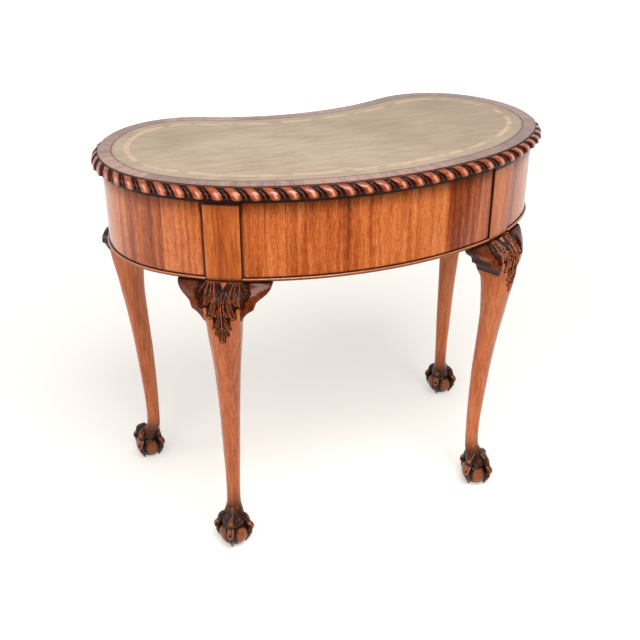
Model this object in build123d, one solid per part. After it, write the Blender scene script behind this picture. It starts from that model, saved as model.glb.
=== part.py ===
from build123d import *
import math
import os

# Kidney-shaped writing desk on four cabriole legs with claw-and-ball feet.
# Units are millimetres. X runs along the desk, Z is up, and the origin is on the floor under the middle
# of the top. The long convex side faces -Y. The sitter's knees go under the hollowed side, which faces +Y.
#
# The plan of the top board is a chain of tangent arcs, mirrored about the YZ plane. A place on the plan is
# given by its distance along the chain from the middle of the long side, and by an offset outwards.

# Overall sizes
desk_height = 760.0
long_side_radius = 675.0
shoulder_radius = 390.0
end_radius = 210.0
lobe_radius = 159.0
long_side_sweep = math.radians(19.0)
shoulder_sweep = math.radians(26.5)
end_sweep = math.radians(86.0)
waist_sweep = math.radians(25.5)

# Writing surface and top board
board_thickness = 26.0
surface_thickness = 1.2
border_width = 24.5
border_segments = 16
leather_gap = 0.2

# Carved moulding round the edge of the top
moulding_projection = 13.0
moulding_height = 27.0
moulding_drop = 2.6
moulding_fillet = 1.6
moulding_foot = 5.0

# Frieze: curved rails veneered on the outside, with a bead along the lower edge
frieze_inset = 5.0
frieze_height = 147.5
rail_thickness = 21.0
veneer_thickness = 1.0
veneer_groove = 1.4
bead_height = 6.5
bead_projection = 4.0
bead_rebate = 6.0
joint_gap = 0.2

# Legs: a square post, a shouldered knee, a tapering shank and a ball gripped by four talons
post_width = 64.5
post_depth = 45.0
post_proud = 2.5
long_leg_facing = math.radians(27.4)
kneehole_leg_facing = math.radians(134.0)
knee_projection = 47.0
ear_span = 83.0
ear_drop = 62.0
ear_depth = 18.0
long_leg_lean = 9.0
long_leg_reach = -3.0
long_foot_lean = 7.6
long_foot_reach = -3.0
kneehole_leg_lean = -0.5
kneehole_leg_reach = 3.8
kneehole_foot_lean = 2.0
kneehole_foot_reach = 5.5
ball_radius = 30.0
ball_flat = 1.5
ankle_height = 92.0
talon_radius = 7.2
talon_count = 4

# Tenons that join the rails to the posts
tenon_thickness = 8.0
tenon_length = 16.0
tenon_shoulder = 14.0

# Drawers on the kneehole side, and what carries them
kneehole_rail_height = 19.0
centre_drawer_width = 330.0
side_drawer_post_gap = 11.0
divider_width = 21.0
drawer_gap = 0.8
drawer_front_thickness = 20.0
drawer_side_thickness = 8.0
drawer_bottom_thickness = 5.0
drawer_bottom_lift = 6.0
drawer_groove = 3.0
drawer_side_drop = 9.0
drawer_back_drop = 6.0
centre_drawer_rear_gap = 43.0
side_drawer_rear_gap = 33.0
runner_height = 12.0
runner_ledge = 7.5
guide_height = 14.0
kicker_gap = 1.5
stop_length = 20.0
stop_height = 8.0
stop_gap = 0.3

# Swinging brass handles
handle_half_span = 25.0
handle_rise = 7.0
rose_radius = 9.0
rose_thickness = 2.2
handle_reach = 12.0
handle_stem_radius = 3.0
handle_eye_radius = 4.2
handle_eye_width = 7.0
handle_pin_radius = 1.45
handle_pin_clearance = 0.08
bail_radius = 2.2
bail_drop = 22.0
bail_overhang = 9.5
bail_taper = 4.0
bail_shoulder = 2.8
bail_bend = 7.0
nut_radius = 4.0
nut_thickness = 3.0
shank_radius = 2.0
shank_clearance = 0.1

# Glue blocks and screws that hold the top down. The facings place the blocks as the legs' facings do
block_facings = (math.radians(9.0), math.radians(62.0), math.radians(100.0))
block_length = 50.0
block_width = 18.0
block_height = 40.0
screw_radius = 2.2
screw_head_radius = 4.2
screw_head_height = 3.0
screw_bite = 16.0
screw_clearance = 0.15

# A cutting solid runs this far past the faces that it cuts
overrun = 20.0

# Levels and offsets that follow from the sizes above
board_top = desk_height - surface_thickness
board_bottom = board_top - board_thickness
frieze_bottom = board_bottom - frieze_height
frieze_face = -frieze_inset
core_face = frieze_face - veneer_thickness
rail_back = core_face - rail_thickness
post_face = frieze_face + post_proud
bead_top = frieze_bottom + bead_height


# Plan outline
class Arc:
    """One tangent arc of the half plan: where it starts, which way it heads there, and how it turns."""

    def __init__(self, x, y, heading, radius, sweep, turn):
        self.x, self.y, self.heading = x, y, heading
        self.radius, self.sweep, self.turn = radius, sweep, turn
        self.length = radius * self.sweep
        self.centre = (x - turn * radius * math.sin(heading), y + turn * radius * math.cos(heading))

    def at(self, distance):
        heading = self.heading + self.turn * distance / self.radius
        x = self.centre[0] + self.turn * self.radius * math.sin(heading)
        y = self.centre[1] - self.turn * self.radius * math.cos(heading)
        return x, y, heading

    def end(self):
        return self.at(self.length)


def plan_arcs(start_y):
    """The right half of the plan, from the middle of the long side to the middle of the waist."""
    lobe_sweep = math.pi + waist_sweep - long_side_sweep - shoulder_sweep - end_sweep
    arcs, place = [], (0.0, start_y, 0.0)
    for radius, sweep in (
        (long_side_radius, long_side_sweep),
        (shoulder_radius, shoulder_sweep),
        (end_radius, end_sweep),
        (lobe_radius, lobe_sweep),
    ):
        arcs.append(Arc(*place, radius, sweep, 1))
        place = arcs[-1].end()
    waist_radius = place[0] / math.sin(waist_sweep)
    arcs.append(Arc(*place, waist_radius, waist_sweep, -1))
    return arcs


def plan_depth():
    """How deep the board is, from the middle of the long side to the back of the lobes."""
    lobe = plan_arcs(0.0)[3]
    return lobe.centre[1] + lobe.radius


ARCS = plan_arcs(-plan_depth() / 2)
JUNCTIONS = [sum(arc.length for arc in ARCS[:n]) for n in range(1, 5)]
HALF = sum(arc.length for arc in ARCS)
LOBE_X = ARCS[3].centre[0]


def arc_holding(s):
    """The arc that the distance s lies on, how far along it, and 1 on the right half or -1 on the left."""
    s = (s + HALF) % (2 * HALF) - HALF
    side, rest = (1, s) if s >= 0 else (-1, -s)
    for arc in ARCS[:-1]:
        if rest <= arc.length:
            return arc, rest, side
        rest -= arc.length
    return ARCS[-1], rest, side


def place_at(s):
    """Point and heading on the plan at the distance s, which is negative on the left half."""
    arc, rest, side = arc_holding(s)
    x, y, heading = arc.at(rest)
    return side * x, y, side * heading


def plan_point(s, offset, z=0.0):
    x, y, heading = place_at(s)
    return (x + offset * math.sin(heading), y - offset * math.cos(heading), z)


def distance_facing(angle):
    """Distance along the right half at which the outline faces this far off the long side."""
    distance = 0.0
    for arc in ARCS[:4]:
        turned = angle - arc.heading
        if turned <= arc.sweep:
            return distance + arc.radius * turned
        distance += arc.length
    return distance


def breaks(s0, s1):
    """The distances from s0 to s1, with the arcs' junctions between them."""
    marks = [k + turn for j in JUNCTIONS for k in (j, -j) for turn in (-2 * HALF, 0.0, 2 * HALF)]
    return [s0] + sorted(m for m in marks if s0 < m < s1) + [s1]


def path_edges(s0, s1, offset, z):
    marks = breaks(s0, s1)
    return [
        Edge.make_three_point_arc(
            plan_point(a, offset, z), plan_point((a + b) / 2, offset, z), plan_point(b, offset, z)
        )
        for a, b in zip(marks, marks[1:])
    ]


def band(s0, s1, inner, outer, z0, z1):
    """A curved board between two distances, two offsets and two levels."""
    edges = path_edges(s0, s1, outer, z0) + path_edges(s0, s1, inner, z0)
    for s in (s0, s1):
        edges.append(Edge.make_line(plan_point(s, inner, z0), plan_point(s, outer, z0)))
    return extrude(Face(Wire(edges)), amount=z1 - z0, dir=(0, 0, 1))


def region(offset, z0, z1):
    """All that lies inside the outline at this offset, between two levels."""
    start = JUNCTIONS[0]
    edges = path_edges(start, start + 2 * HALF, offset, z0)
    return extrude(Face(Wire(edges)), amount=z1 - z0, dir=(0, 0, 1))


def moulded(s0, s1, profile):
    """A moulding between two distances. Profile lists its (offset, level) corners, and three in one tuple make an arc."""
    marks, pieces = breaks(s0, s1), []
    for a, b in zip(marks, marks[1:]):
        edges = []
        for corners in profile:
            points = [plan_point(a, offset, z) for offset, z in corners]
            if len(points) == 3:
                edges.append(Edge.make_three_point_arc(*points))
            else:
                edges.append(Edge.make_line(*points))
        arc, _, side = arc_holding((a + b) / 2)
        axis = Axis((side * arc.centre[0], arc.centre[1], 0), (0, 0, arc.turn))
        sweep = math.degrees((b - a) / arc.radius)
        pieces.append(revolve(Face(Wire(edges)), axis=axis, revolution_arc=sweep))
    return join(pieces)


def join(pieces):
    whole = pieces[0]
    for piece in pieces[1:]:
        whole = whole + piece
    return whole


def mirrored(shape):
    return mirror(shape, about=Plane.YZ)


def box(x0, x1, y0, y1, z0, z1, frame=Location()):
    """A box between corner values, in a frame whose X runs along the outline and whose -Y faces outwards."""
    lowest = (Align.MIN, Align.MIN, Align.MIN)
    return frame * Pos(x0, y0, z0) * Box(x1 - x0, y1 - y0, z1 - z0, align=lowest)


def frame_at(s):
    """Frame on the frieze's face: X along the outline, Y inwards, Z up."""
    x, y, heading = place_at(s)
    origin = plan_point(s, frieze_face)
    return Plane(origin=origin, x_dir=(math.cos(heading), math.sin(heading), 0), z_dir=(0, 0, 1)).location


LONG_LEG = distance_facing(long_leg_facing)
KNEEHOLE_LEG = distance_facing(kneehole_leg_facing)
LEG_FRAMES = {"long_side": frame_at(LONG_LEG), "kneehole": frame_at(KNEEHOLE_LEG)}


# Top board, leather and crossbanding
def top_board():
    return region(0.0, board_bottom, board_top)


def leather():
    return region(-border_width - leather_gap, board_top, desk_height)


def crossbanding():
    length = 2 * HALF / border_segments
    return [
        band(n * length, (n + 1) * length, -border_width, 0.0, board_top, desk_height)
        for n in range(border_segments)
    ]


# Edge moulding: a quirk under the top, a full round that carries the carving, and a flat foot
def edge_profile():
    top = desk_height - moulding_drop
    bottom = top - moulding_height
    start = (moulding_fillet, top)
    crown = (moulding_projection, (top + bottom) / 2)
    return [
        ((0.0, top), start),
        (start, crown, (moulding_foot, bottom)),
        ((moulding_foot, bottom), (0.0, bottom)),
        ((0.0, bottom), (0.0, top)),
    ]


def edge_moulding(s0, s1):
    return moulded(s0, s1, edge_profile())


# Frieze rails, veneers and beads
def post_void(frame, gap):
    """The space that a leg's post takes out of its neighbours, with a gap all round."""
    half = post_width / 2 + gap
    return box(-half, half, -overrun, post_depth + gap, 0, desk_height, frame)


def rail_tenon(frame, side, z0, z1, slack=0.0):
    """A tenon that runs from a rail's end into the post. Side is 1 where the rail lies beyond the post."""
    outer = post_width / 2 + joint_gap + slack
    inner = post_width / 2 - tenon_length - slack
    back = veneer_thickness + (rail_thickness + tenon_thickness) / 2 + slack
    front = veneer_thickness + (rail_thickness - tenon_thickness) / 2 - slack
    x0, x1 = (inner, outer) if side > 0 else (-outer, -inner)
    return box(x0, x1, front, back, z0 - slack, z1 + slack, frame)


TENON_LEVELS = (frieze_bottom + tenon_shoulder, board_bottom - tenon_shoulder)


def bead_profile():
    nose = frieze_face + bead_projection
    back = core_face - bead_rebate + veneer_thickness
    face = nose - bead_height / 2
    middle = frieze_bottom + bead_height / 2
    return [
        ((back, frieze_bottom), (face, frieze_bottom)),
        ((face, frieze_bottom), (nose, middle), (face, bead_top)),
        ((face, bead_top), (back, bead_top)),
        ((back, bead_top), (back, frieze_bottom)),
    ]


def bead(s0, s1, ends):
    strip = moulded(s0, s1, bead_profile())
    for frame in ends:
        strip = strip - post_void(frame, joint_gap)
    return strip


def veneer(s0, s1, ends):
    sheet = band(s0, s1, core_face, frieze_face, bead_top, board_bottom)
    for frame in ends:
        sheet = sheet - post_void(frame, veneer_groove)
    return sheet


def rail_core(s0, s1, outer, z0, z1, ends, tenons):
    """A curved rail between two posts. Ends are the posts' frames, and tenons give each one's side and levels."""
    core = band(s0, s1, rail_back, outer, z0, z1)
    for frame in ends:
        core = core - post_void(frame, joint_gap)
    for frame, side, low, high in tenons:
        core = core + rail_tenon(frame, side, low, high)
    return core


def bead_rebate_strip(s0, s1, outer):
    back = core_face - bead_rebate + veneer_thickness
    return band(s0, s1, back, outer + overrun, frieze_bottom - overrun, bead_top)


def long_side_rail():
    frame, low_high = LEG_FRAMES["long_side"], TENON_LEVELS
    half = band(0.0, LONG_LEG, rail_back, core_face, frieze_bottom, board_bottom)
    half = half - post_void(frame, joint_gap) - bead_rebate_strip(0.0, LONG_LEG, core_face)
    half = half + rail_tenon(frame, -1, *low_high)
    return mirrored(half) + half


def end_rail():
    ends = [LEG_FRAMES["long_side"], LEG_FRAMES["kneehole"]]
    tenons = [(ends[0], 1, *TENON_LEVELS), (ends[1], -1, *TENON_LEVELS)]
    core = rail_core(LONG_LEG, KNEEHOLE_LEG, core_face, frieze_bottom, board_bottom, ends, [])
    core = core - bead_rebate_strip(LONG_LEG, KNEEHOLE_LEG, core_face)
    for tenon in tenons:
        core = core + rail_tenon(*tenon)
    return core


# Rails above and below the drawers, and the dividers between them
drawer_low = frieze_bottom + kneehole_rail_height
drawer_high = board_bottom - kneehole_rail_height
rail_tenon_inset = kneehole_rail_height / 4


def kneehole_rail(z0, z1, rebated):
    frame = LEG_FRAMES["kneehole"]
    half = band(KNEEHOLE_LEG, HALF, rail_back, frieze_face, z0, z1) - post_void(frame, joint_gap)
    if rebated:
        half = half - bead_rebate_strip(KNEEHOLE_LEG, HALF, frieze_face)
    low, high = (bead_top if rebated else z0 + rail_tenon_inset), z1 - rail_tenon_inset
    half = half + rail_tenon(frame, 1, low, high)
    return half + mirrored(half)


def divider():
    inner = centre_drawer_width / 2
    post = band(KNEEHOLE_LEG, HALF, rail_back, frieze_face, drawer_low, drawer_high)
    return post & box(inner, inner + divider_width, -desk_height, desk_height, 0, desk_height)


# Legs, in a frame on the frieze's face. Heights are shares of the height under the frieze.
knee_width_share = 1.05
roundest_share = 0.495
root_share = 0.85
knee_stations_shares = (
    # depth below the frieze as a share of the ears' drop, projection at the middle and at the ears' tips
    (0.0, 0.10, -0.06),
    (0.12, 0.46, 0.02),
    (0.33, 0.74, 0.10),
    (0.56, 0.86, 0.13),
    (0.80, 0.85, 0.08),
    (1.05, 0.76, -0.02),
    (1.30, 0.50, -0.30),
)
shank_stations_shares = (
    # height between ankle and frieze, front and back of the section as shares of the knee's projection, half
    # width and corner as shares of the post's half width, and the share of the leg's lean and reach there
    (1.0, 0.06, -0.90, 0.96, 0.20, 0.0),
    (0.96, 0.60, -0.78, 0.96, 0.40, 0.03),
    (0.90, 0.83, -0.60, 0.96, 0.55, 0.07),
    (0.85, 0.85, -0.48, 0.96, 0.70, 0.10),
    (0.795, 0.78, -0.43, 0.94, 0.80, 0.13),
    (0.735, 0.66, -0.42, 0.86, 0.77, 0.17),
    (0.675, 0.565, -0.395, 0.775, 0.71, 0.20),
    (0.595, 0.405, -0.445, 0.70, 0.65, 0.31),
    (0.515, 0.285, -0.51, 0.64, 0.60, 0.42),
    (0.405, 0.153, -0.613, 0.565, 0.53, 0.59),
    (0.255, 0.01, -0.67, 0.505, 0.48, 0.78),
    (0.145, -0.083, -0.69, 0.44, 0.42, 0.90),
    (0.055, -0.10, -0.675, 0.415, 0.395, 1.0),
    (0.0, -0.06, -0.645, 0.425, 0.40, 1.0),
)
ear_profile_shares = (
    # along, as a share of the span, and down, as a share of the drop
    (1.0, 0.0),
    (0.96, 0.20),
    (0.783, 0.38),
    (0.70, 0.47),
    (0.654, 0.66),
    (0.50, 0.79),
    (0.41, 1.0),
)
talon_stations_shares = (
    # out from the foot's axis and up from the floor, both as shares of the ball's radius, and thickness
    (0.44, 2.42, 0.85),
    (0.78, 2.10, 1.05),
    (0.98, 1.74, 0.95),
    (1.10, 1.36, 0.78),
    (1.14, 1.02, 0.88),
    (1.00, 0.62, 0.68),
    (0.80, 0.26, 0.38),
)


def knee_mass():
    """The bulk that knee and ears are carved from: a bowed block whose front swells below the frieze."""
    half = ear_span * knee_width_share
    faces = []
    for down, middle, tip in knee_stations_shares:
        z = frieze_bottom - down * ear_drop
        left, right = (-half, -tip * knee_projection, z), (half, -tip * knee_projection, z)
        back_right, back_left = (half, ear_depth, z), (-half, ear_depth, z)
        edges = [
            Edge.make_three_point_arc(left, (0, -middle * knee_projection, z), right),
            Edge.make_line(right, back_right),
            Edge.make_line(back_right, back_left),
            Edge.make_line(back_left, left),
        ]
        faces.append(Face(Wire(edges)))
    return loft(faces)


def shank(lean, reach):
    """Shank with its knee block: rounded sections that swell at the knee and taper to the ankle."""
    half = post_width / 2
    low = ankle_height - talon_radius
    sections = []
    for height, front, back, width, corner, along in shank_stations_shares:
        y0, y1 = -front * knee_projection, -back * knee_projection
        radius = min(corner * half, roundest_share * (y1 - y0), 2 * roundest_share * width * half)
        outline = RectangleRounded(2 * width * half, y1 - y0, radius)
        z = low + height * (frieze_bottom - low)
        sections.append(Pos(along * lean, (y0 + y1) / 2 - along * reach, z) * outline)
    return loft([section.face() for section in sections])


def talon(angle):
    """One talon: a jointed toe that leaves the ankle, bends over the ball and ends in a claw."""
    circles = []
    points = [
        Vector(0, -out * ball_radius, up * ball_radius).rotate(Axis.Z, angle)
        for out, up, _ in talon_stations_shares
    ]
    for n, point in enumerate(points):
        ahead = points[min(n + 1, len(points) - 1)] - points[max(n - 1, 0)]
        plane = Plane(origin=point, z_dir=ahead)
        circles.append(plane * Circle(talon_stations_shares[n][2] * talon_radius))
    return loft([circle.face() for circle in circles])


def foot(lean, reach):
    """Ball gripped by talons, under the root that they spring from. Its flat underside stands on the floor."""
    ball = Pos(0, 0, ball_radius - ball_flat) * Sphere(ball_radius)
    whole = ball - box(-desk_height, desk_height, -desk_height, desk_height, -desk_height, 0)
    for n in range(talon_count):
        whole = whole + talon(n * 360 / talon_count)
    lowest = (Align.CENTER, Align.CENTER, Align.MIN)
    root = Cone(root_share * ball_radius, 2 * talon_radius, ankle_height - ball_radius, align=lowest)
    return Pos(lean, -reach, 0) * (whole + Pos(0, 0, ball_radius) * root)


def leg_bottom(name):
    """Knee, shank and foot of a leg, up to the underside of the frieze."""
    half = post_width / 2
    knee = knee_mass() & box(-half, half, -desk_height, desk_height, 0, desk_height)
    if name == "long_side":
        return shank(long_leg_lean, long_leg_reach) + knee + foot(long_foot_lean, long_foot_reach)
    return shank(kneehole_leg_lean, kneehole_leg_reach) + knee + foot(kneehole_foot_lean, kneehole_foot_reach)


def ear():
    """Shaped bracket glued to the right of the knee."""
    start = post_width / 2 + joint_gap
    points = [
        (max(along * ear_span, start + joint_gap), 0, frieze_bottom - down * ear_drop)
        for along, down in ear_profile_shares
    ]
    top, bottom = (start, 0, frieze_bottom), (start, 0, points[-1][2])
    edges = [
        Edge.make_line(top, points[0]),
        Edge.make_three_point_arc(points[0], points[1], points[2]),
        Edge.make_line(points[2], points[3]),
        Edge.make_line(points[3], points[4]),
        Edge.make_three_point_arc(points[4], points[5], points[6]),
        Edge.make_line(points[6], bottom),
        Edge.make_line(bottom, top),
    ]
    block = extrude(Face(Wire(edges)), amount=desk_height, dir=(0, 1, 0), both=True)
    return block & knee_mass()


def leg(name):
    """A whole leg on the right half of the desk, with its post cut to the outline and mortised."""
    frame = LEG_FRAMES[name]
    half = post_width / 2
    post = box(-half, half, -overrun, post_depth, frieze_bottom, board_bottom, frame)
    post = post & region(post_face, frieze_bottom, board_bottom)
    sides = (-1, 1) if name == "long_side" else (-1,)
    for side in sides:
        post = post - rail_tenon(frame, side, *TENON_LEVELS, slack=joint_gap)
    if name == "kneehole":
        levels = (
            (bead_top, drawer_low - rail_tenon_inset),
            (drawer_high + rail_tenon_inset, board_bottom - rail_tenon_inset),
        )
        for low, high in levels:
            post = post - rail_tenon(frame, 1, low, high, slack=joint_gap)
    return post + frame * leg_bottom(name)


# Runners, kickers, stops, glue blocks and screws
def post_corner(name):
    """The inner corner of a right-hand post, on the side towards the waist."""
    return (LEG_FRAMES[name] * Pos(post_width / 2, post_depth, 0)).position


inner_runner_x0 = centre_drawer_width / 2 - drawer_gap - runner_ledge
inner_runner_x1 = centre_drawer_width / 2 + divider_width + drawer_gap + runner_ledge
side_drawer_x0 = centre_drawer_width / 2 + divider_width + drawer_gap
side_drawer_x1 = post_corner("kneehole").X - side_drawer_post_gap
drawer_floor = drawer_low + drawer_gap


def carcase_strip(x0, x1, z0, z1):
    """A strip that runs from the kneehole rail back to the far rail, cut to the inside of the rails."""
    strip = box(x0, x1, -desk_height, desk_height, z0, z1)
    strip = strip & region(rail_back - joint_gap, z0, z1)
    for frame in LEG_FRAMES.values():
        strip = strip - post_void(frame, joint_gap)
    return strip


def runners():
    """Two T-shaped runners between the drawers and two L-shaped ones at the ends."""
    low, level = drawer_floor - runner_height, drawer_floor
    inner = carcase_strip(inner_runner_x0, inner_runner_x1, low, level)
    guide_x0, guide_x1 = centre_drawer_width / 2, centre_drawer_width / 2 + divider_width
    inner = inner + carcase_strip(guide_x0, guide_x1, level, level + guide_height)
    edge = side_drawer_x1 + drawer_gap
    outer = carcase_strip(side_drawer_x1 - runner_ledge, edge + runner_ledge, low, level)
    outer = outer + carcase_strip(edge, edge + runner_ledge, level, level + guide_height)
    return [inner, outer, mirrored(inner), mirrored(outer)]


def kickers():
    """Strips under the top that keep the open drawers from tipping."""
    low = drawer_high - drawer_side_drop + kicker_gap
    inner = carcase_strip(inner_runner_x0, inner_runner_x1, low, board_bottom)
    outer = carcase_strip(side_drawer_x1 - runner_ledge, side_drawer_x1 + runner_ledge, low, board_bottom)
    return [inner, outer, mirrored(inner), mirrored(outer)]


def drawer_stops():
    """Blocks glued on the runners behind each drawer, which the closed drawer rests against."""
    stops = []
    ledges = (
        (inner_runner_x0, centre_drawer_width / 2 - drawer_gap, centre_drawer()),
        (side_drawer_x0, inner_runner_x1, side_drawer()),
        (side_drawer_x1 - runner_ledge, side_drawer_x1, side_drawer()),
    )
    for x0, x1, drawer in ledges:
        y = drawer.rear - stop_gap
        stop = box(x0, x1, y - stop_length, y, drawer_floor, drawer_floor + stop_height)
        stops += [stop, mirrored(stop)]
    return stops


def block_frames():
    """Where the glue blocks stand along the right half."""
    return [frame_at(distance_facing(facing)) for facing in block_facings]


def screw_axis_y():
    """How far in from the frieze's face the screws stand."""
    return frieze_face - rail_back + block_width / 2


def screw_hole(radius, z0, z1, frame):
    lowest = (Align.CENTER, Align.CENTER, Align.MIN)
    return frame * Pos(0, screw_axis_y(), z0) * Cylinder(radius, z1 - z0, align=lowest)


def glue_blocks():
    blocks = []
    low = board_bottom - block_height
    for frame in block_frames():
        depth = frieze_face - rail_back + block_width
        block = box(-block_length / 2, block_length / 2, 0, depth, low, board_bottom, frame)
        block = block & region(rail_back - joint_gap, low, board_bottom)
        block = block - screw_hole(screw_radius + screw_clearance, low - overrun, board_bottom + overrun, frame)
        blocks += [block, mirrored(block)]
    return blocks


def screws():
    found = []
    low = board_bottom - block_height
    for frame in block_frames():
        shank_part = screw_hole(screw_radius, low, board_bottom + screw_bite, frame)
        head = screw_hole(screw_head_radius, low - screw_head_height, low, frame)
        found += [head + shank_part, mirrored(head + shank_part)]
    return found


def screw_pilots():
    """Pilot holes in the underside of the top."""
    return [
        screw_hole(screw_radius + screw_clearance, board_bottom - overrun, board_bottom + screw_bite + joint_gap, frame)
        for frame in block_frames()
    ]


# Drawers
front_low = drawer_low + drawer_gap
front_high = drawer_high - drawer_gap
front_back = frieze_face - drawer_front_thickness
handle_z = (front_low + front_high) / 2 + handle_rise


class Drawer:
    """One drawer, cut to the curve of the frieze. X0 and X1 bound its box, and the front may reach further."""

    def __init__(self, x0, x1, front_x0, front_x1, rear, handle_x):
        self.x0, self.x1, self.front_x0, self.front_x1 = x0, x1, front_x0, front_x1
        self.handle_x, self.rear = handle_x, rear
        self.floor = front_low
        self.side_top = front_high - drawer_side_drop

    def front(self):
        block = band(KNEEHOLE_LEG, 2 * HALF - KNEEHOLE_LEG, front_back, frieze_face, front_low, front_high)
        block = block & box(self.front_x0, self.front_x1, -desk_height, desk_height, 0, desk_height)
        right = LEG_FRAMES["kneehole"]
        block = block - post_void(right, drawer_gap) - mirrored(post_void(right, drawer_gap))
        block = block - self.bottom(joint_gap)
        for x in self.handle_xs():
            block = block - handle_bore(x, shank_radius + shank_clearance)
        return block

    def side(self, x0):
        board = box(x0, x0 + drawer_side_thickness, self.rear, desk_height, self.floor, self.side_top)
        board = board & region(front_back - joint_gap, self.floor, self.side_top)
        return board - self.bottom(joint_gap)

    def back(self):
        x0, x1 = self.x0 + drawer_side_thickness + joint_gap, self.x1 - drawer_side_thickness - joint_gap
        low = self.floor + drawer_bottom_lift + drawer_bottom_thickness + joint_gap
        high = self.side_top - drawer_back_drop
        return box(x0, x1, self.rear, self.rear + drawer_side_thickness, low, high)

    def bottom(self, slack=0.0):
        x0 = self.x0 + drawer_side_thickness - drawer_groove - slack
        x1 = self.x1 - drawer_side_thickness + drawer_groove + slack
        z0 = self.floor + drawer_bottom_lift - slack
        z1 = self.floor + drawer_bottom_lift + drawer_bottom_thickness + slack
        panel = box(x0, x1, self.rear - slack, desk_height, z0, z1)
        return panel & region(front_back + drawer_groove + slack, z0, z1)

    def handle_xs(self):
        return (self.handle_x - handle_half_span, self.handle_x + handle_half_span)

    def pivot_y(self):
        return max(front_face_y(x, frieze_face) for x in self.handle_xs()) + handle_reach

    def handle_posts(self):
        """Two saddle-backed roses with stems, eyes and threaded shanks, and a nut on each shank."""
        solids = []
        clear = region(frieze_face + shank_clearance, front_low, front_high)
        for x in self.handle_xs():
            face_y = front_face_y(x, frieze_face)
            rose = along_y(rose_radius, x, face_y - rose_radius, face_y + rose_thickness, handle_z) - clear
            stem = along_y(handle_stem_radius, x, face_y, self.pivot_y(), handle_z) - clear
            eye = Pos(x, self.pivot_y(), handle_z) * Rot(0, 90, 0) * Cylinder(handle_eye_radius, handle_eye_width)
            back_y = front_face_y(x, front_back)
            shank_bar = along_y(shank_radius, x, back_y - 2 * nut_thickness, face_y + rose_thickness, handle_z)
            hole = handle_pin_radius + handle_pin_clearance
            pin_hole = Pos(x, self.pivot_y(), handle_z) * Rot(0, 90, 0) * Cylinder(hole, 2 * handle_eye_width)
            solids.append(rose + stem + eye + shank_bar - pin_hole)
            seat = min(front_face_y(x + side * nut_radius, front_back) for side in (-1, 1))
            nut_y = seat - nut_thickness
            bore = along_y(shank_radius + shank_clearance, x, nut_y - overrun, nut_y + overrun, handle_z)
            nut = along_y(nut_radius, x, nut_y, nut_y + nut_thickness, handle_z) - bore
            solids.append(nut)
        return solids

    def bail(self):
        """Swinging handle: two pins in the eyes, and a bowed bar that hangs below them."""
        half = handle_half_span
        start = half + handle_eye_width / 2 + 2 * joint_gap
        out = half + bail_overhang
        low = handle_z - bail_drop
        y = self.pivot_y()
        xs = (-start, -out, bail_taper - out, out - bail_taper, out, start)
        zs = (handle_z, handle_z, low, low, handle_z, handle_z)
        points = [(self.handle_x + x, y, z) for x, z in zip(xs, zs)]
        corners = (bail_shoulder, bail_bend, bail_bend, bail_shoulder)
        line = FilletPolyline(*points, radius=corners)
        plane = Plane(origin=points[0], z_dir=Vector(*points[1]) - Vector(*points[0]))
        bar = sweep(plane * Circle(bail_radius), path=line)
        for side in (-1, 1):
            inner, outer = half - handle_pin_radius, start + bail_radius
            middle = self.handle_x + side * (inner + outer) / 2
            pin = Cylinder(handle_pin_radius, outer - inner)
            bar = bar + Pos(middle, y, handle_z) * Rot(0, 90, 0) * pin
        return bar


def front_face_y(x, offset):
    """Y of the frieze's curve at this offset on the kneehole side, at an X on the lobe or in the waist."""
    waist, lobe = ARCS[4], ARCS[3]
    x = abs(x)
    if x < (waist.radius - offset) * math.sin(waist.sweep):
        return waist.centre[1] - math.sqrt((waist.radius - offset) ** 2 - x * x)
    return lobe.centre[1] + math.sqrt((lobe.radius + offset) ** 2 - (x - lobe.centre[0]) ** 2)


def along_y(radius, x, y0, y1, z):
    """A rod along Y between two places."""
    return Pos(x, (y0 + y1) / 2, z) * Rot(90, 0, 0) * Cylinder(radius, y1 - y0)


def handle_bore(x, radius):
    y = front_face_y(x, frieze_face)
    return along_y(radius, x, y - drawer_front_thickness - overrun, y + overrun, handle_z)


def centre_drawer():
    half = centre_drawer_width / 2 - drawer_gap
    long_side = ARCS[0]
    rail_y = long_side.centre[1] - math.sqrt((long_side.radius + rail_back) ** 2 - half * half)
    return Drawer(-half, half, -half, half, rail_y + centre_drawer_rear_gap, 0)


def side_drawer():
    rear = post_corner("long_side").Y + side_drawer_rear_gap
    return Drawer(side_drawer_x0, side_drawer_x1, side_drawer_x0, desk_height, rear, LOBE_X)


# Every piece under its own name
def drawer_nodes(name, drawer, flip):
    """The pieces of one drawer. Flip mirrors them to the left half."""
    place = mirrored if flip else (lambda shape: shape)
    sides = [drawer.side(drawer.x0), drawer.side(drawer.x1 - drawer_side_thickness)]
    left, right = (sides[1], sides[0]) if flip else (sides[0], sides[1])
    return {
        f"{name}_front": place(drawer.front()),
        f"{name}_left_side": place(left),
        f"{name}_right_side": place(right),
        f"{name}_back": place(drawer.back()),
        f"{name}_bottom": place(drawer.bottom()),
        f"{name}_handle_posts": [place(solid) for solid in drawer.handle_posts()],
        f"{name}_bail": place(drawer.bail()),
    }


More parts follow.
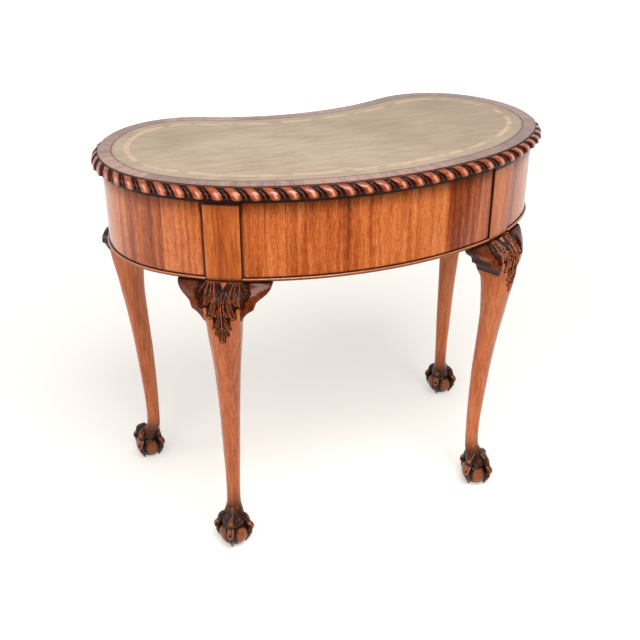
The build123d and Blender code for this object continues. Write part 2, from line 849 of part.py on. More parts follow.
def nodes():
    found = {}
    found["top_board"] = top_board()
    for pilot in screw_pilots():
        found["top_board"] = found["top_board"] - pilot - mirrored(pilot)
    found["leather_writing_surface"] = leather()
    found["crossbanding"] = crossbanding()
    found["edge_moulding_long_side"] = edge_moulding(-LONG_LEG, LONG_LEG)
    lobe_end = JUNCTIONS[3]
    right_end = edge_moulding(LONG_LEG, lobe_end)
    found["edge_moulding_right_end"] = right_end
    found["edge_moulding_left_end"] = mirrored(right_end)
    found["edge_moulding_waist"] = edge_moulding(lobe_end, 2 * HALF - lobe_end)
    long_frame, knee_frame = LEG_FRAMES["long_side"], LEG_FRAMES["kneehole"]
    found["long_side_rail"] = long_side_rail()
    found["right_end_rail"] = end_rail()
    found["left_end_rail"] = mirrored(found["right_end_rail"])
    half_veneer = veneer(0.0, LONG_LEG, [long_frame])
    found["long_side_veneer"] = half_veneer + mirrored(half_veneer)
    found["right_end_veneer"] = veneer(LONG_LEG, KNEEHOLE_LEG, [long_frame, knee_frame])
    found["left_end_veneer"] = mirrored(found["right_end_veneer"])
    half_bead = bead(0.0, LONG_LEG, [long_frame])
    found["long_side_bead"] = half_bead + mirrored(half_bead)
    found["right_end_bead"] = bead(LONG_LEG, KNEEHOLE_LEG, [long_frame, knee_frame])
    found["left_end_bead"] = mirrored(found["right_end_bead"])
    half_bead = bead(KNEEHOLE_LEG, HALF, [knee_frame])
    found["kneehole_bead"] = half_bead + mirrored(half_bead)
    found["kneehole_lower_rail"] = kneehole_rail(frieze_bottom, drawer_low, True)
    found["kneehole_upper_rail"] = kneehole_rail(drawer_high, board_bottom, False)
    found["drawer_divider_right"] = divider()
    found["drawer_divider_left"] = mirrored(found["drawer_divider_right"])
    bracket = ear()
    for name, frame in LEG_FRAMES.items():
        whole = leg(name)
        found[f"{name}_right_leg"] = whole
        found[f"{name}_left_leg"] = mirrored(whole)
        beyond = frame * bracket
        before = frame * mirrored(bracket)
        found[f"{name}_right_leg_ear_beyond"] = beyond
        found[f"{name}_right_leg_ear_before"] = before
        found[f"{name}_left_leg_ear_beyond"] = mirrored(beyond)
        found[f"{name}_left_leg_ear_before"] = mirrored(before)
    found["drawer_runners"] = runners()
    found["drawer_kickers"] = kickers()
    found["drawer_stops"] = drawer_stops()
    found["glue_blocks"] = glue_blocks()
    found["top_screws"] = screws()
    found.update(drawer_nodes("centre_drawer", centre_drawer(), False))
    found.update(drawer_nodes("right_drawer", side_drawer(), False))
    found.update(drawer_nodes("left_drawer", side_drawer(), True))
    return found


def main():
    os.makedirs("parts", exist_ok=True)
    for name, shape in nodes().items():
        if isinstance(shape, list):
            shape = Compound(children=[solid for piece in shape for solid in piece.solids()])
        export_step(shape, f"parts/{name}.step")


main()
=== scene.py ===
import math

import bmesh
import bpy
import numpy as np
from mathutils import Matrix, Vector


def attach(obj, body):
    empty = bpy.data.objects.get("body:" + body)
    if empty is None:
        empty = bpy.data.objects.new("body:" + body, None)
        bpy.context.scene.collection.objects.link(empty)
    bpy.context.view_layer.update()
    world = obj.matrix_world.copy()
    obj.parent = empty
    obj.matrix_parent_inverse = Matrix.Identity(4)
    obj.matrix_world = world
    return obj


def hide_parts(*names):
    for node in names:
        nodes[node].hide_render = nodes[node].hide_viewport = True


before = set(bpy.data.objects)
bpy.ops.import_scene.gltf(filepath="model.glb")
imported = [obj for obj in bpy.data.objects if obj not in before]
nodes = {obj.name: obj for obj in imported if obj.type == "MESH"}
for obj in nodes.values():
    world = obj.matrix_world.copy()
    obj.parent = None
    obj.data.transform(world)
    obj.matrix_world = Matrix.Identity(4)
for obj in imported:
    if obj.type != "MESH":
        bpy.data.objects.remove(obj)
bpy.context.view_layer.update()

# Plan of the desk. The real top is a kidney-shaped board, drawn as a chain of tangent arcs from the middle of
# the long side round to the middle of the hollowed waist, the same on both halves. What follows the edge of
# the desk is placed on it by the distance s along it and by an offset outwards.
mm = 0.001


class Outline:
    """The kidney plan. The distance s is 0 in the middle of the long side and grows to the right."""

    def __init__(self, bends, waist_sweep):
        x = y = heading = 0.0
        lobe_sweep = 180.0 + waist_sweep - sum(sweep for _, sweep in bends[:-1])
        self.arcs, self.marks = [], [0.0]
        for radius, sweep in bends[:-1] + [(bends[-1][0], lobe_sweep), (None, waist_sweep)]:
            sweep = math.radians(sweep)
            turn = 1 if radius else -1
            radius = radius or x / math.sin(sweep)
            centre = Vector((x - turn * radius * math.sin(heading), y + turn * radius * math.cos(heading), 0))
            self.arcs.append((centre, radius, heading, sweep, turn))
            self.marks.append(self.marks[-1] + radius * sweep)
            heading += turn * sweep
            x = centre.x + turn * radius * math.sin(heading)
            y = centre.y - turn * radius * math.cos(heading)
        self.half = self.marks[-1]
        lobe_centre, lobe_radius = self.arcs[3][:2]
        depth = lobe_centre.y + lobe_radius
        for arc in self.arcs:
            arc[0].y -= depth / 2

    def arc_holding(self, s):
        """The arc at s, how far along it s is, and 1 on the right half or -1 on the left."""
        s = (s + self.half) % (2 * self.half) - self.half
        number = int(np.clip(np.searchsorted(self.marks, abs(s)), 1, len(self.arcs)))
        return self.arcs[number - 1], abs(s) - self.marks[number - 1], 1 if s >= 0 else -1

    def at(self, s):
        """Point of the outline at s, and its heading there."""
        (centre, radius, heading, _, turn), rest, side = self.arc_holding(s)
        heading += turn * rest / radius
        x = centre.x + turn * radius * math.sin(heading)
        y = centre.y - turn * radius * math.cos(heading)
        return side * x, y, side * heading

    def point(self, s, offset, z):
        x, y, heading = self.at(s)
        return Vector((x + offset * math.sin(heading), y - offset * math.cos(heading), z))

    def facing(self, angle):
        """Distance s on the right half at which the outline faces this many degrees off the long side."""
        for (_, radius, heading, sweep, _), start in zip(self.arcs, self.marks):
            if math.radians(angle) <= heading + sweep:
                return start + radius * (math.radians(angle) - heading)

    def frame_at(self, s, offset):
        """Millimetre frame on the outline: X along it, Y inwards, Z up."""
        turned = Matrix.Rotation(self.at(s)[2], 4, "Z")
        return Matrix.Translation(self.point(s, offset, 0)) @ turned @ Matrix.Scale(mm, 4)

    def locate(self, points):
        """Distance along the outline and offset from it of many points."""
        x, y = np.abs(points[:, 0]), points[:, 1]
        best = np.full(len(x), np.inf)
        s, offset = np.zeros(len(x)), np.zeros(len(x))
        for (centre, radius, heading, sweep, turn), start in zip(self.arcs, self.marks):
            dx, dy = x - centre.x, y - centre.y
            turned = (np.arctan2(turn * dx, -turn * dy) + math.pi / 2) % (2 * math.pi) - math.pi / 2
            along = np.clip(turn * (turned - heading), 0, sweep)
            held = heading + turn * along
            gap = np.hypot(dx - turn * radius * np.sin(held), dy + turn * radius * np.cos(held))
            near = gap < best
            best = np.where(near, gap, best)
            s = np.where(near, start + along * radius, s)
            offset = np.where(near, turn * (np.hypot(dx, dy) - radius), offset)
        return np.where(points[:, 0] < 0, -s, s), offset

    def sweep(self, shape, profile, start, end, step):
        """Spins a closed profile of (offset, level) corners about each arc from start to end."""
        turns = (-2 * self.half, 0, 2 * self.half)
        joints = [side * mark + turn for mark in self.marks[1:-1] for side in (-1, 1) for turn in turns]
        marks = [start] + sorted(mark for mark in joints if start < mark < end) + [end]
        corners = [shape.verts.new(self.point(start, *corner)) for corner in profile]
        line = corners + [shape.edges.new(pair) for pair in zip(corners, corners[1:] + corners[:1])]
        begun = line[len(corners):]
        for a, b in zip(marks, marks[1:]):
            (centre, radius, _, _, turn), _, side = self.arc_holding((a + b) / 2)
            line = bmesh.ops.spin(
                shape, geom=line, cent=(side * centre.x, centre.y, 0), axis=(0, 0, 1),
                angle=turn * (b - a) / radius, steps=max(1, round((b - a) / step)), use_duplicate=False,
            )["geom_last"]
        ended = [item for item in line if isinstance(item, bmesh.types.BMEdge)]
        for rim in (begun, ended):
            bmesh.ops.holes_fill(shape, edges=rim, sides=0)

    def map_along(self, mesh, across):
        """A UV map of distance along the outline, in metres, and of offset or height."""
        points = np.array([vertex.co for vertex in mesh.vertices])
        s, offset = self.locate(points)
        corner = [loop.vertex_index for loop in mesh.loops]
        along, beside = s[corner], {"offset": offset, "height": points[:, 2]}[across][corner]
        for face in mesh.polygons:
            held = slice(face.loop_start, face.loop_start + face.loop_total)
            if np.ptp(along[held]) > self.half:
                along[held] = np.where(along[held] < 0, along[held] + 2 * self.half, along[held])
        layer = mesh.uv_layers.new(name="along")
        layer.data.foreach_set("uv", np.stack([along, beside], 1).ravel())


outline = Outline([(675 * mm, 19.0), (390 * mm, 26.5), (210 * mm, 86.0), (159 * mm, None)], 25.5)
desk_height, surface_thickness, board_thickness = 760 * mm, 1.2 * mm, 26 * mm
board_top = desk_height - surface_thickness
board_bottom = board_top - board_thickness
frieze_height, frieze_inset = 147.5 * mm, 5 * mm
frieze_bottom = board_bottom - frieze_height


# Legs. Each is carved from one billet of walnut: a square post that shows between the veneers, a swelling
# knee with an acanthus leaf, a tapering shank, and a ball gripped by four talons. Painted shade, with some
# dark old polish, lies in the hollows of the carving, and a painted highlight, with some wear, on its ridges.
post_width, post_depth, post_proud = 64.5, 45.0, 2.5
knee_projection, ear_drop, ear_span, ear_depth = 47.0, 62.0, 83.0, 18.0
knee_half_span = 1.05 * ear_span
ankle_level, talon_radius, ball_radius, ball_flat = 84.8, 7.2, 30.0, 1.5
leg_top = frieze_bottom / mm
post_half = post_width / 2
leg_middles = {"long_side": outline.facing(27.4), "kneehole": outline.facing(134.0)}
leg_frames = {kind: outline.frame_at(middle, -frieze_inset) for kind, middle in leg_middles.items()}
leg_places = {
    # how far the ankle, and then the foot, stand along the outline and out from it
    "long_side": ((9.0, -3.0), (7.6, -3.0)),
    "kneehole": ((-0.5, 3.8), (2.0, 5.5)),
}
knee_stations = np.array([
    # depth below the frieze, and how far the knee stands out at its middle and at the ears' tips
    (0.0, 0.10, -0.06),
    (0.12, 0.46, 0.02),
    (0.33, 0.74, 0.10),
    (0.56, 0.86, 0.13),
    (0.80, 0.85, 0.08),
    (1.05, 0.76, -0.02),
    (1.30, 0.50, -0.30),
]) * (ear_drop, knee_projection, knee_projection)
shank_stations = np.array([
    # level, front and back of the section, half width, corner radius, and share of the leg's lean
    (1.0, 0.06, -0.90, 0.96, 0.20, 0.0),
    (0.96, 0.60, -0.78, 0.96, 0.40, 0.0),
    (0.90, 0.83, -0.60, 0.96, 0.55, 0.03),
    (0.85, 0.85, -0.48, 0.96, 0.70, 0.10),
    (0.795, 0.78, -0.43, 0.94, 0.80, 0.13),
    (0.735, 0.66, -0.42, 0.86, 0.77, 0.17),
    (0.675, 0.565, -0.395, 0.775, 0.71, 0.20),
    (0.595, 0.405, -0.445, 0.70, 0.65, 0.31),
    (0.515, 0.285, -0.51, 0.64, 0.60, 0.42),
    (0.405, 0.153, -0.613, 0.565, 0.53, 0.59),
    (0.255, 0.01, -0.67, 0.505, 0.48, 0.78),
    (0.145, -0.083, -0.69, 0.44, 0.42, 0.90),
    (0.055, -0.10, -0.675, 0.415, 0.395, 1.0),
    (0.0, -0.06, -0.645, 0.425, 0.40, 1.0),
])[::-1] * (leg_top - ankle_level, knee_projection, knee_projection, post_half, post_half, 1.0) + (
    ankle_level, 0, 0, 0, 0, 0
)
acanthus_lobes = (
    # from its root by its bend to its tip, as (out from the spine, down from the frieze), and half width
    ((13, -1), (2.4, 12), (2.6, 44), 2.0),
    ((3.4, 36), (3.6, 58), (12.0, 73), 3.6),
    ((18, -1), (7.0, 22), (20.5, 51), 5.2),
    ((3.0, 30), (4.6, 42), (10.5, 48), 2.6),
    ((19, -1), (10, 10), (15.0, 23), 3.4),
    ((23, -1), (17, 16), (26.5, 27), 4.0),
    ((27, -1), (30, 12), (35.0, 31), 5.0),
    ((31, -1), (37, 3), (42.5, 13), 5.2),
    ((36, -1), (41, 6), (42.0, 20), 3.4),
    ((0, 70), (0, 85), (0, 99), 4.6),
    ((1.5, 74), (7, 77), (8.6, 86), 3.2),
)
leaf_edge = np.array([
    # depth below the frieze, and how far out the dark ground of the leaf reaches
    (-2, 46), (14, 46), (26, 39), (33, 37), (36, 27), (49, 25), (54, 16), (72, 15), (77, 11), (86, 11),
    (94, 6), (101, 0),
])
# the notch at the top of the leaf, and how far out from its spine it is open
leaf_notch = np.array([(-2, 7), (1, 5), (4, 2.2), (7, 0.2), (8, -3), (110, -3)])
acanthus_depth, spine_half_width = 3.4, 1.3
foot_flare_level, foot_root_level, foot_root_radius = 92.0, 54.0, 23.0
knuckle_stations = np.array([
    # out from the foot's axis, up from the floor, and thickness of a talon
    (0.20, 2.50, 0.90),
    (0.45, 2.33, 1.00),
    (0.80, 2.12, 1.02),
    (0.88, 1.88, 0.92),
    (0.95, 1.68, 0.80),
    (1.12, 1.44, 1.06),
    (1.12, 1.27, 0.95),
    (1.02, 1.11, 0.74),
    (1.05, 0.92, 0.86),
    (0.95, 0.62, 0.70),
    (0.82, 0.30, 0.42),
    (0.74, 0.06, 0.18),
]) * (ball_radius, ball_radius, talon_radius)
nail_middle, nail_half_width, nail_half_length = 47.0, 5.2, 11.0


def eased(at, places, values, blur):
    """Values between stations, with the corners at the stations rounded off."""
    return sum(np.interp(at + blur * n, places, values) for n in (-1, -0.5, 0, 0.5, 1)) / 5


def rising(value, low, high):
    """0 below low, 1 above high, and a smooth rise between."""
    share = np.clip((value - low) / (high - low), 0, 1)
    return share * share * (3 - 2 * share)


def towards(value, other, share):
    """The value moved this share of the way to the other."""
    return value + (other - value) * share


def curve(first, bend, last, t):
    """Point at t, from 0 to 1, of a curve that leaves the first point towards its bend."""
    return first * (1 - t) ** 2 + 2 * bend * t * (1 - t) + last * t * t


def knee_front(along, down):
    """How far the bowed front of knee and ears stands out from the frieze's face."""
    middle = eased(down, knee_stations[:, 0], knee_stations[:, 1], 4)
    tip = eased(down, knee_stations[:, 0], knee_stations[:, 2], 4)
    sag = np.maximum(middle - tip, 1)
    radius = (knee_half_span ** 2 + sag ** 2) / (2 * sag)
    return middle - radius + np.sqrt(radius ** 2 - along ** 2)


def acanthus(along, down):
    """Relief of the leaf, and its painted shade: 1 in the hollows, with dark old polish there, below 0 for a
    painted highlight, with some wear, on the ridges.
    """
    out = np.abs(along)
    relief = np.zeros(len(out))
    ridges, fills = np.zeros(len(out)), np.zeros(len(out))
    inside = 1 - rising(out - np.interp(down, leaf_edge[:, 0], leaf_edge[:, 1]), -1.5, 0)
    for *points, width in acanthus_lobes:
        near, place = np.full(len(out), np.inf), np.zeros(len(out))
        for t in np.linspace(0, 1, 33):
            x, y = curve(*np.array(points), t)
            gap = np.hypot(out - x, down - y)
            place = np.where(gap < near, t, place)
            near = np.minimum(gap, near)
        held = width * (0.45 + 0.55 * rising(place, 0.15, 0.75))
        across = near / held
        open_tip = rising(place, 0.30, 0.65)
        stem = np.exp(-((across / 0.24) ** 2)) * (1 - open_tip)
        rim = np.exp(-(((across - 0.78) / 0.12) ** 2)) * open_tip
        vein = np.exp(-((across / 0.16) ** 2)) * 0.45 * open_tip
        ridge = np.maximum(np.maximum(stem, rim), vein)
        relief = np.maximum(relief, ridge * (0.75 + 0.25 * place))
        ridges, fills = np.maximum(ridges, ridge), np.maximum(fills, across < 0.8)
        inside = np.maximum(inside, 1 - rising(near - held, 0.4, 1.8))
    spine = np.clip(1 - (out / spine_half_width) ** 2, 0, 1)
    spine = spine * rising(down, 7, 13) * (1 - rising(down, 68, 76))
    relief, ridges = np.maximum(relief, spine * 1.1), np.maximum(ridges, spine)
    inside = inside * rising(out - np.interp(down, leaf_notch[:, 0], leaf_notch[:, 1]), -0.6, 0.6)
    # painted shade, with dark old polish, on the leaf's ground and fills, lifted below 0 by a painted
    # highlight on the ridges
    dark = inside * (1.0 - 0.56 * fills - 1.70 * ridges ** 3)
    return acanthus_depth * (relief - 0.55) * inside, dark


def sheet(columns, rows, place):
    """A grid of faces bent so that its point (u, v), each from 0 to 1, lies at place(u, v)."""
    shape = bmesh.new()
    shape.verts.layers.float.new("hollow")
    bmesh.ops.create_grid(shape, x_segments=columns, y_segments=rows, size=0.5)
    flat = np.array([vertex.co for vertex in shape.verts]) + 0.5
    for vertex, co in zip(shape.verts, place(flat[:, 0], flat[:, 1])):
        vertex.co = co
    return shape


def carve(shape, chosen):
    """Carves the leaf in the chosen vertices, along their normals, and keeps its painted shade and highlight
    as an attribute.
    """
    layer = shape.verts.layers.float["hollow"]
    shape.normal_update()
    points = np.array([vertex.co for vertex in chosen])
    relief, dark = acanthus(points[:, 0], leg_top - points[:, 2])
    for vertex, height, depth in zip(chosen, relief, dark):
        out = Vector((0, vertex.normal.y, vertex.normal.z)).normalized()
        vertex.co += out * float(height)
        vertex[layer] = float(depth)


def closed(shape):
    """Merges the seam of a tube, fills its ends and turns its faces outwards."""
    bmesh.ops.remove_doubles(shape, verts=shape.verts, dist=0.01)
    bmesh.ops.holes_fill(shape, edges=[edge for edge in shape.edges if edge.is_boundary], sides=0)
    bmesh.ops.recalc_face_normals(shape, faces=shape.faces)
    return shape


def extruded(shape):
    """Extrudes all the faces of a sheet and returns the new vertices."""
    made = bmesh.ops.extrude_face_region(shape, geom=shape.faces[:])["geom"]
    return [item for item in made if isinstance(item, bmesh.types.BMVert)]


def shank_sheet(ankle, foot):
    """Knee, shank and ankle as one tube, from the frieze down into the foot."""
    fine_share, knee_zone = 0.62, 112.0
    # what the front, right side, back and left side take of one turn of the section
    side_shares = np.array((0.66, 0.07, 0.20, 0.07))
    side_ends = np.cumsum(side_shares)

    def place(u, v):
        shank_zone = leg_top - foot_root_level - knee_zone
        low = (v - fine_share) / (1 - fine_share)
        down = np.where(v < fine_share, v / fine_share * knee_zone, knee_zone + low * shank_zone)
        z = leg_top - down
        held = np.maximum(z, ankle_level)
        front, back, width, corner, share = (
            eased(held, shank_stations[:, 0], shank_stations[:, n], 9) for n in range(1, 6)
        )
        boxed = 1 - rising(down, ear_drop - 2, ear_drop + 22)
        flare = rising(-z, -foot_flare_level, -foot_root_level)
        corner = np.minimum(corner, (front - back) / 2.02)
        back_corner = corner * (1 - 0.5 * boxed)
        width = towards(towards(width, post_half, boxed), foot_root_radius, flare)
        front, back = towards(front, foot_root_radius, flare), towards(back, -foot_root_radius, flare)
        corner, back_corner = (towards(c, foot_root_radius * 0.95, flare) for c in (corner, back_corner))
        side = np.searchsorted(side_ends[:-1], u, side="right")
        t = (u - side_ends[side]) / side_shares[side] + 1
        swing = np.where(side == 2, 1 - 2 * t, 2 * t - 1)
        spread = np.where(side == 0, 0.55, 1.0)
        x = width * (spread * np.sin(swing * math.pi / 2) + (1 - spread) * swing)
        x = np.choose(side, [x, width, x, -width])
        radius = np.where(side == 2, back_corner, corner)
        reach = np.clip(np.abs(x) - (width - radius), 0, radius)
        drop = radius - np.sqrt(np.maximum(radius ** 2 - reach ** 2, 0))
        in_knee, sunk = down < knee_stations[-1, 0], 30 * rising(down, ear_drop, ear_drop + 18)
        bowed = np.where(in_knee, knee_front(np.minimum(np.abs(x), 40), down), -99)
        edge_bowed = np.where(in_knee, knee_front(width, down), -99)
        y_front = -np.maximum(front - drop, bowed - sunk * (np.abs(x) / post_half) ** 4)
        y_edge = -np.maximum(front - corner, edge_bowed - sunk)
        y_back = np.where(down < ear_drop, np.maximum(-back, ear_depth), -back)
        y_side_end = y_back - back_corner
        y_right, y_left = towards(y_edge, y_side_end, t), towards(y_side_end, y_edge, t)
        y = np.choose(side, [y_front, y_right, y_back - drop, y_left])
        shift = [share * (1 - flare) * ankle[n] + flare * foot[n] for n in (0, 1)]
        return np.stack([x + shift[0], y - shift[1], z], 1)

    shape = closed(sheet(112, 200, place))
    carve(shape, [
        vertex for vertex in shape.verts
        if vertex.co.z > leg_top - 110 and vertex.normal.y < -0.2 and len(vertex.link_faces) < 9
    ])
    layer = shape.verts.layers.float["hollow"]
    # the shank is painted darker towards the ankle and the foot
    for vertex in shape.verts:
        if vertex.co.z < 140:
            vertex[layer] = 0.52 * min((150 - vertex.co.z) / 75, 1) ** 2
    return shape


def talon_sheet(number, foot):
    """One toe: knuckles over the ball, and a claw that ends on the floor."""
    places = np.arange(len(knuckle_stations))

    def toe(n):
        return [eased(n, places, knuckle_stations[:, column], 0.35) for column in range(3)]

    def place(u, v):
        n = v * places[-1]
        out, up, thick = toe(n)
        ahead_out, ahead_up, _ = np.subtract(toe(n + 0.2), toe(n - 0.2))
        length = np.hypot(ahead_out, ahead_up)
        thick = thick * np.sqrt(np.clip(v * 30, 0, 1)) * np.where(v > 0.999, 0.05, 1)
        side, lift = np.cos(u * 2 * math.pi) * thick, np.sin(u * 2 * math.pi) * thick
        z = np.maximum(up + lift * ahead_out / length, 0)
        return np.stack([side, lift * ahead_up / length - out, z], 1)

    shape = closed(sheet(22, 60, place))
    layer = shape.verts.layers.float["hollow"]
    # painted highlights on the knuckle, on the rim of the nail and in a streak down it, and painted shade
    # down the talon's sides
    for vertex in shape.verts:
        x, up = vertex.co.x, vertex.co.z
        knuckle = math.exp(-((up / ball_radius - 2.15) / 0.12) ** 2) * (abs(x) < 0.6 * talon_radius)
        vertex[layer] = 0.50 - 0.26 * knuckle + 0.2 * (abs(x) > 0.8 * talon_radius)
        nail = math.hypot(x / nail_half_width, (up - nail_middle) / nail_half_length)
        if -vertex.co.y > 0.95 * ball_radius and nail < 1.25:
            rim = math.exp(-((nail - 1.0) / 0.14) ** 2) * (up < nail_middle + 6)
            streak = math.exp(-(x / 1.1) ** 2) * (nail < 0.7) * (up > nail_middle - 2)
            vertex[layer] = 0.62 - 0.95 * max(rim, streak)
    turned = Matrix.Rotation(number * math.pi / 2, 4, "Z")
    moved = Matrix.Translation((foot[0], -foot[1], 0))
    bmesh.ops.transform(shape, matrix=moved @ turned, verts=shape.verts)
    return shape


def ball_shape(foot):
    """The ball, flat where it stands, with painted shade between the talons, at its top under the ankle and
    near the floor.
    """
    shape = bmesh.new()
    layer = shape.verts.layers.float.new("hollow")
    bmesh.ops.create_uvsphere(shape, u_segments=56, v_segments=36, radius=ball_radius)
    for vertex in shape.verts:
        x, y, z = vertex.co
        up = max(z + ball_radius - ball_flat, 0)
        vertex.co = (x + foot[0], y - foot[1], up)
        # painted shade beside the talons, at the top under the ankle and near the floor
        beside_talon = 1 - min(abs(x) / 13, abs(y) / 13, 1)
        above, below = min(max(up - 44, 0) / 14, 0.6), min(max(14 - up, 0) / 20, 0.5)
        vertex[layer] = 0.32 + 0.9 * beside_talon + above + below
    return shape


def post_sheet(kind):
    """The square post, with its face cut to the curve of the frieze."""
    to_world = leg_frames[kind]
    low, high = leg_top, board_bottom / mm

    def place(u, v):
        x, z = (2 * u - 1) * post_half, low + v * (high - low)
        y = np.zeros(len(x))
        for _ in range(4):
            world = np.array([to_world @ Vector(point) for point in zip(x, y, z)])
            y += (outline.locate(world)[1] + frieze_inset) / mm - post_proud
        rounding = 0.8 * np.clip(np.abs(2 * u - 1) * 20 - 19, 0, 1)
        return np.stack([x, y + rounding, z], 1)

    shape = sheet(44, 30, place)
    # painted shade in the grooves at the sides, at the foot above the knee and under the carved edge at the
    # top, fading down from it
    layer = shape.verts.layers.float["hollow"]
    for vertex in shape.verts:
        side, up, down = post_half - abs(vertex.co.x), vertex.co.z - low, high - vertex.co.z
        vertex[layer] = max(0.9 - side / 2, 0.6 - up / 14, 0.9 - max(down - 4, 0) / 4, 0.25 - down / 120, 0)
    for vertex in extruded(shape):
        vertex.co.y = post_depth
    bmesh.ops.recalc_face_normals(shape, faces=shape.faces)
    return shape


def gather(shapes):
    """Joins several shapes into the first one."""
    whole = shapes[0]
    for shape in shapes[1:]:
        spare = bpy.data.meshes.new("spare")
        shape.to_mesh(spare)
        shape.free()
        whole.from_mesh(spare)
        bpy.data.meshes.remove(spare)
    return whole


def set_down(shape, matrix):
    """Moves a shape by a matrix, and turns its faces outwards again where that mirrors it."""
    bmesh.ops.transform(shape, matrix=matrix, verts=shape.verts)
    if matrix.determinant() < 0:
        bmesh.ops.reverse_faces(shape, faces=shape.faces)


def stand(name, data):
    """A new object of the scene that holds this data."""
    made = bpy.data.objects.new(name, data)
    bpy.context.scene.collection.objects.link(made)
    return made


def piece(name, shape, finish, node, crease=38, across=None):
    """Makes the shape a finished piece of the desk that stands for its CAD node."""
    for edge in shape.edges:
        edge.smooth = edge.calc_face_angle(0) < math.radians(crease)
    for face in shape.faces:
        face.smooth = True
    mesh = bpy.data.meshes.new(name)
    shape.to_mesh(mesh)
    shape.free()
    if across:
        outline.map_along(mesh, across)
    mesh.materials.append(finish)
    made = stand(name, mesh)
    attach(made, "desk")
    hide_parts(node)


def tone(red, green, blue):
    """A colour as seen on a screen, 0 to 255, in the linear values that shaders take."""
    shares = (red / 255, green / 255, blue / 255)
    return (*(c / 12.92 if c <= 0.04045 else ((c + 0.055) / 1.055) ** 2.4 for c in shares), 1.0)


def fill(node, sockets):
    """Gives sockets of a node their values or wires."""
    for name, value in sockets.items():
        if isinstance(value, Wire):
            node.id_data.links.new(value.socket, node.inputs[name])
        else:
            node.inputs[name].default_value = value


class Wire:
    """A socket of a material's nodes. Expressions on wires and numbers add the Math nodes they need."""

    def __init__(self, tree, socket=None):
        self.tree, self.socket = tree, socket

    def add(self, kind, settings=None, sockets=None, output=0):
        """Any node: its settings go on first, then the values or wires of its sockets."""
        node = self.tree.nodes.new("ShaderNode" + kind)
        for name, value in (settings or {}).items():
            if name == "stops":
                ramp = node.color_ramp.elements
                while len(ramp) < len(value):
                    ramp.new(0.5)
                for stop, (place, colour) in zip(ramp, value):
                    stop.position, stop.color = place, tone(*colour)
            else:
                setattr(node, name, value)
        fill(node, sockets or {})
        return Wire(self.tree, node.outputs[output])

    def maths(self, operation, *others):
        return self.add("Math", {"operation": operation}, dict(enumerate((self, *others))))

    def __add__(self, other):
        return self.maths("ADD", other)

    def __sub__(self, other):
        return self.maths("SUBTRACT", other)

    def __rsub__(self, other):
        return self.add("Math", {"operation": "SUBTRACT"}, {0: other, 1: self})

    def __mul__(self, other):
        return self.maths("MULTIPLY", other)

    def __truediv__(self, other):
        return self.maths("DIVIDE", other)

    def __abs__(self):
        return self.maths("ABSOLUTE")

    __radd__ = __add__
    __rmul__ = __mul__

    def held(self, low=0.0, high=1.0):
        """The value kept between two limits."""
        return self.maths("MAXIMUM", low).maths("MINIMUM", high)

    def rise(self, low, high):
        """0 below low, 1 above high, and a smooth rise between. A low above high gives a fall."""
        sockets = {"Value": self, "From Min": low, "From Max": high}
        return self.add("MapRange", {"interpolation_type": "SMOOTHSTEP"}, sockets)

    def mix(self, *colours):
        """Colour that goes from the first to the second as this wire goes from 0 to 1."""
        first, second = (c if isinstance(c, Wire) else tone(*c) for c in colours)
        return self.add("Mix", {"data_type": "RGBA"}, {0: self, 6: first, 7: second}, output=2)

    def ramp(self, *stops):
        """Colour at this value between stops of (place, (red, green, blue))."""
        return self.add("ValToRGB", {"stops": stops}, {0: self})

    def vector(self, y, z=0.0):
        """A vector with this wire as its X."""
        return self.add("CombineXYZ", {}, {0: self, 1: y, 2: z})

    def stretched(self, scale):
        return self.add("VectorMath", {"operation": "MULTIPLY"}, {0: self, 1: scale})

    def noise(self, scale, detail=2.0, roughness=0.5, distortion=0.0):
        values = {"Scale": scale, "Detail": detail, "Roughness": roughness, "Distortion": distortion}
        return self.add("TexNoise", {}, {"Vector": self, **values})

    def part(self, axis):
        return self.add("SeparateXYZ", {}, {0: self}, output=axis)

    def attribute(self, name):
        return self.add("Attribute", {"attribute_name": name}, output=2)


def new_finish(name, mapped=False):
    """A material, and the wire of its Object coordinates or of the piece's own UV map."""
    material = bpy.data.materials.new(name)
    material.use_nodes = True
    wire = Wire(material.node_tree)
    place = wire.add("UVMap", {"uv_map": "along"}) if mapped else wire.add("TexCoord", output="Object")
    return material, place


def lay_on(material, colour, roughness, height, depth, coat=0.0, **numbers):
    """Joins colour, roughness and a bump of this depth to the shader. Numbers set its other sockets."""
    bump = colour.add("Bump", {}, {"Height": height, "Distance": depth, "Strength": 1.0})
    sockets = {"Base Color": colour, "Roughness": roughness, "Normal": bump, "Coat Weight": coat}
    for name, value in numbers.items():
        sockets[name.replace("_", " ").title().replace("Ior", "IOR")] = value
    fill(material.node_tree.nodes["Principled BSDF"], sockets)
    return material


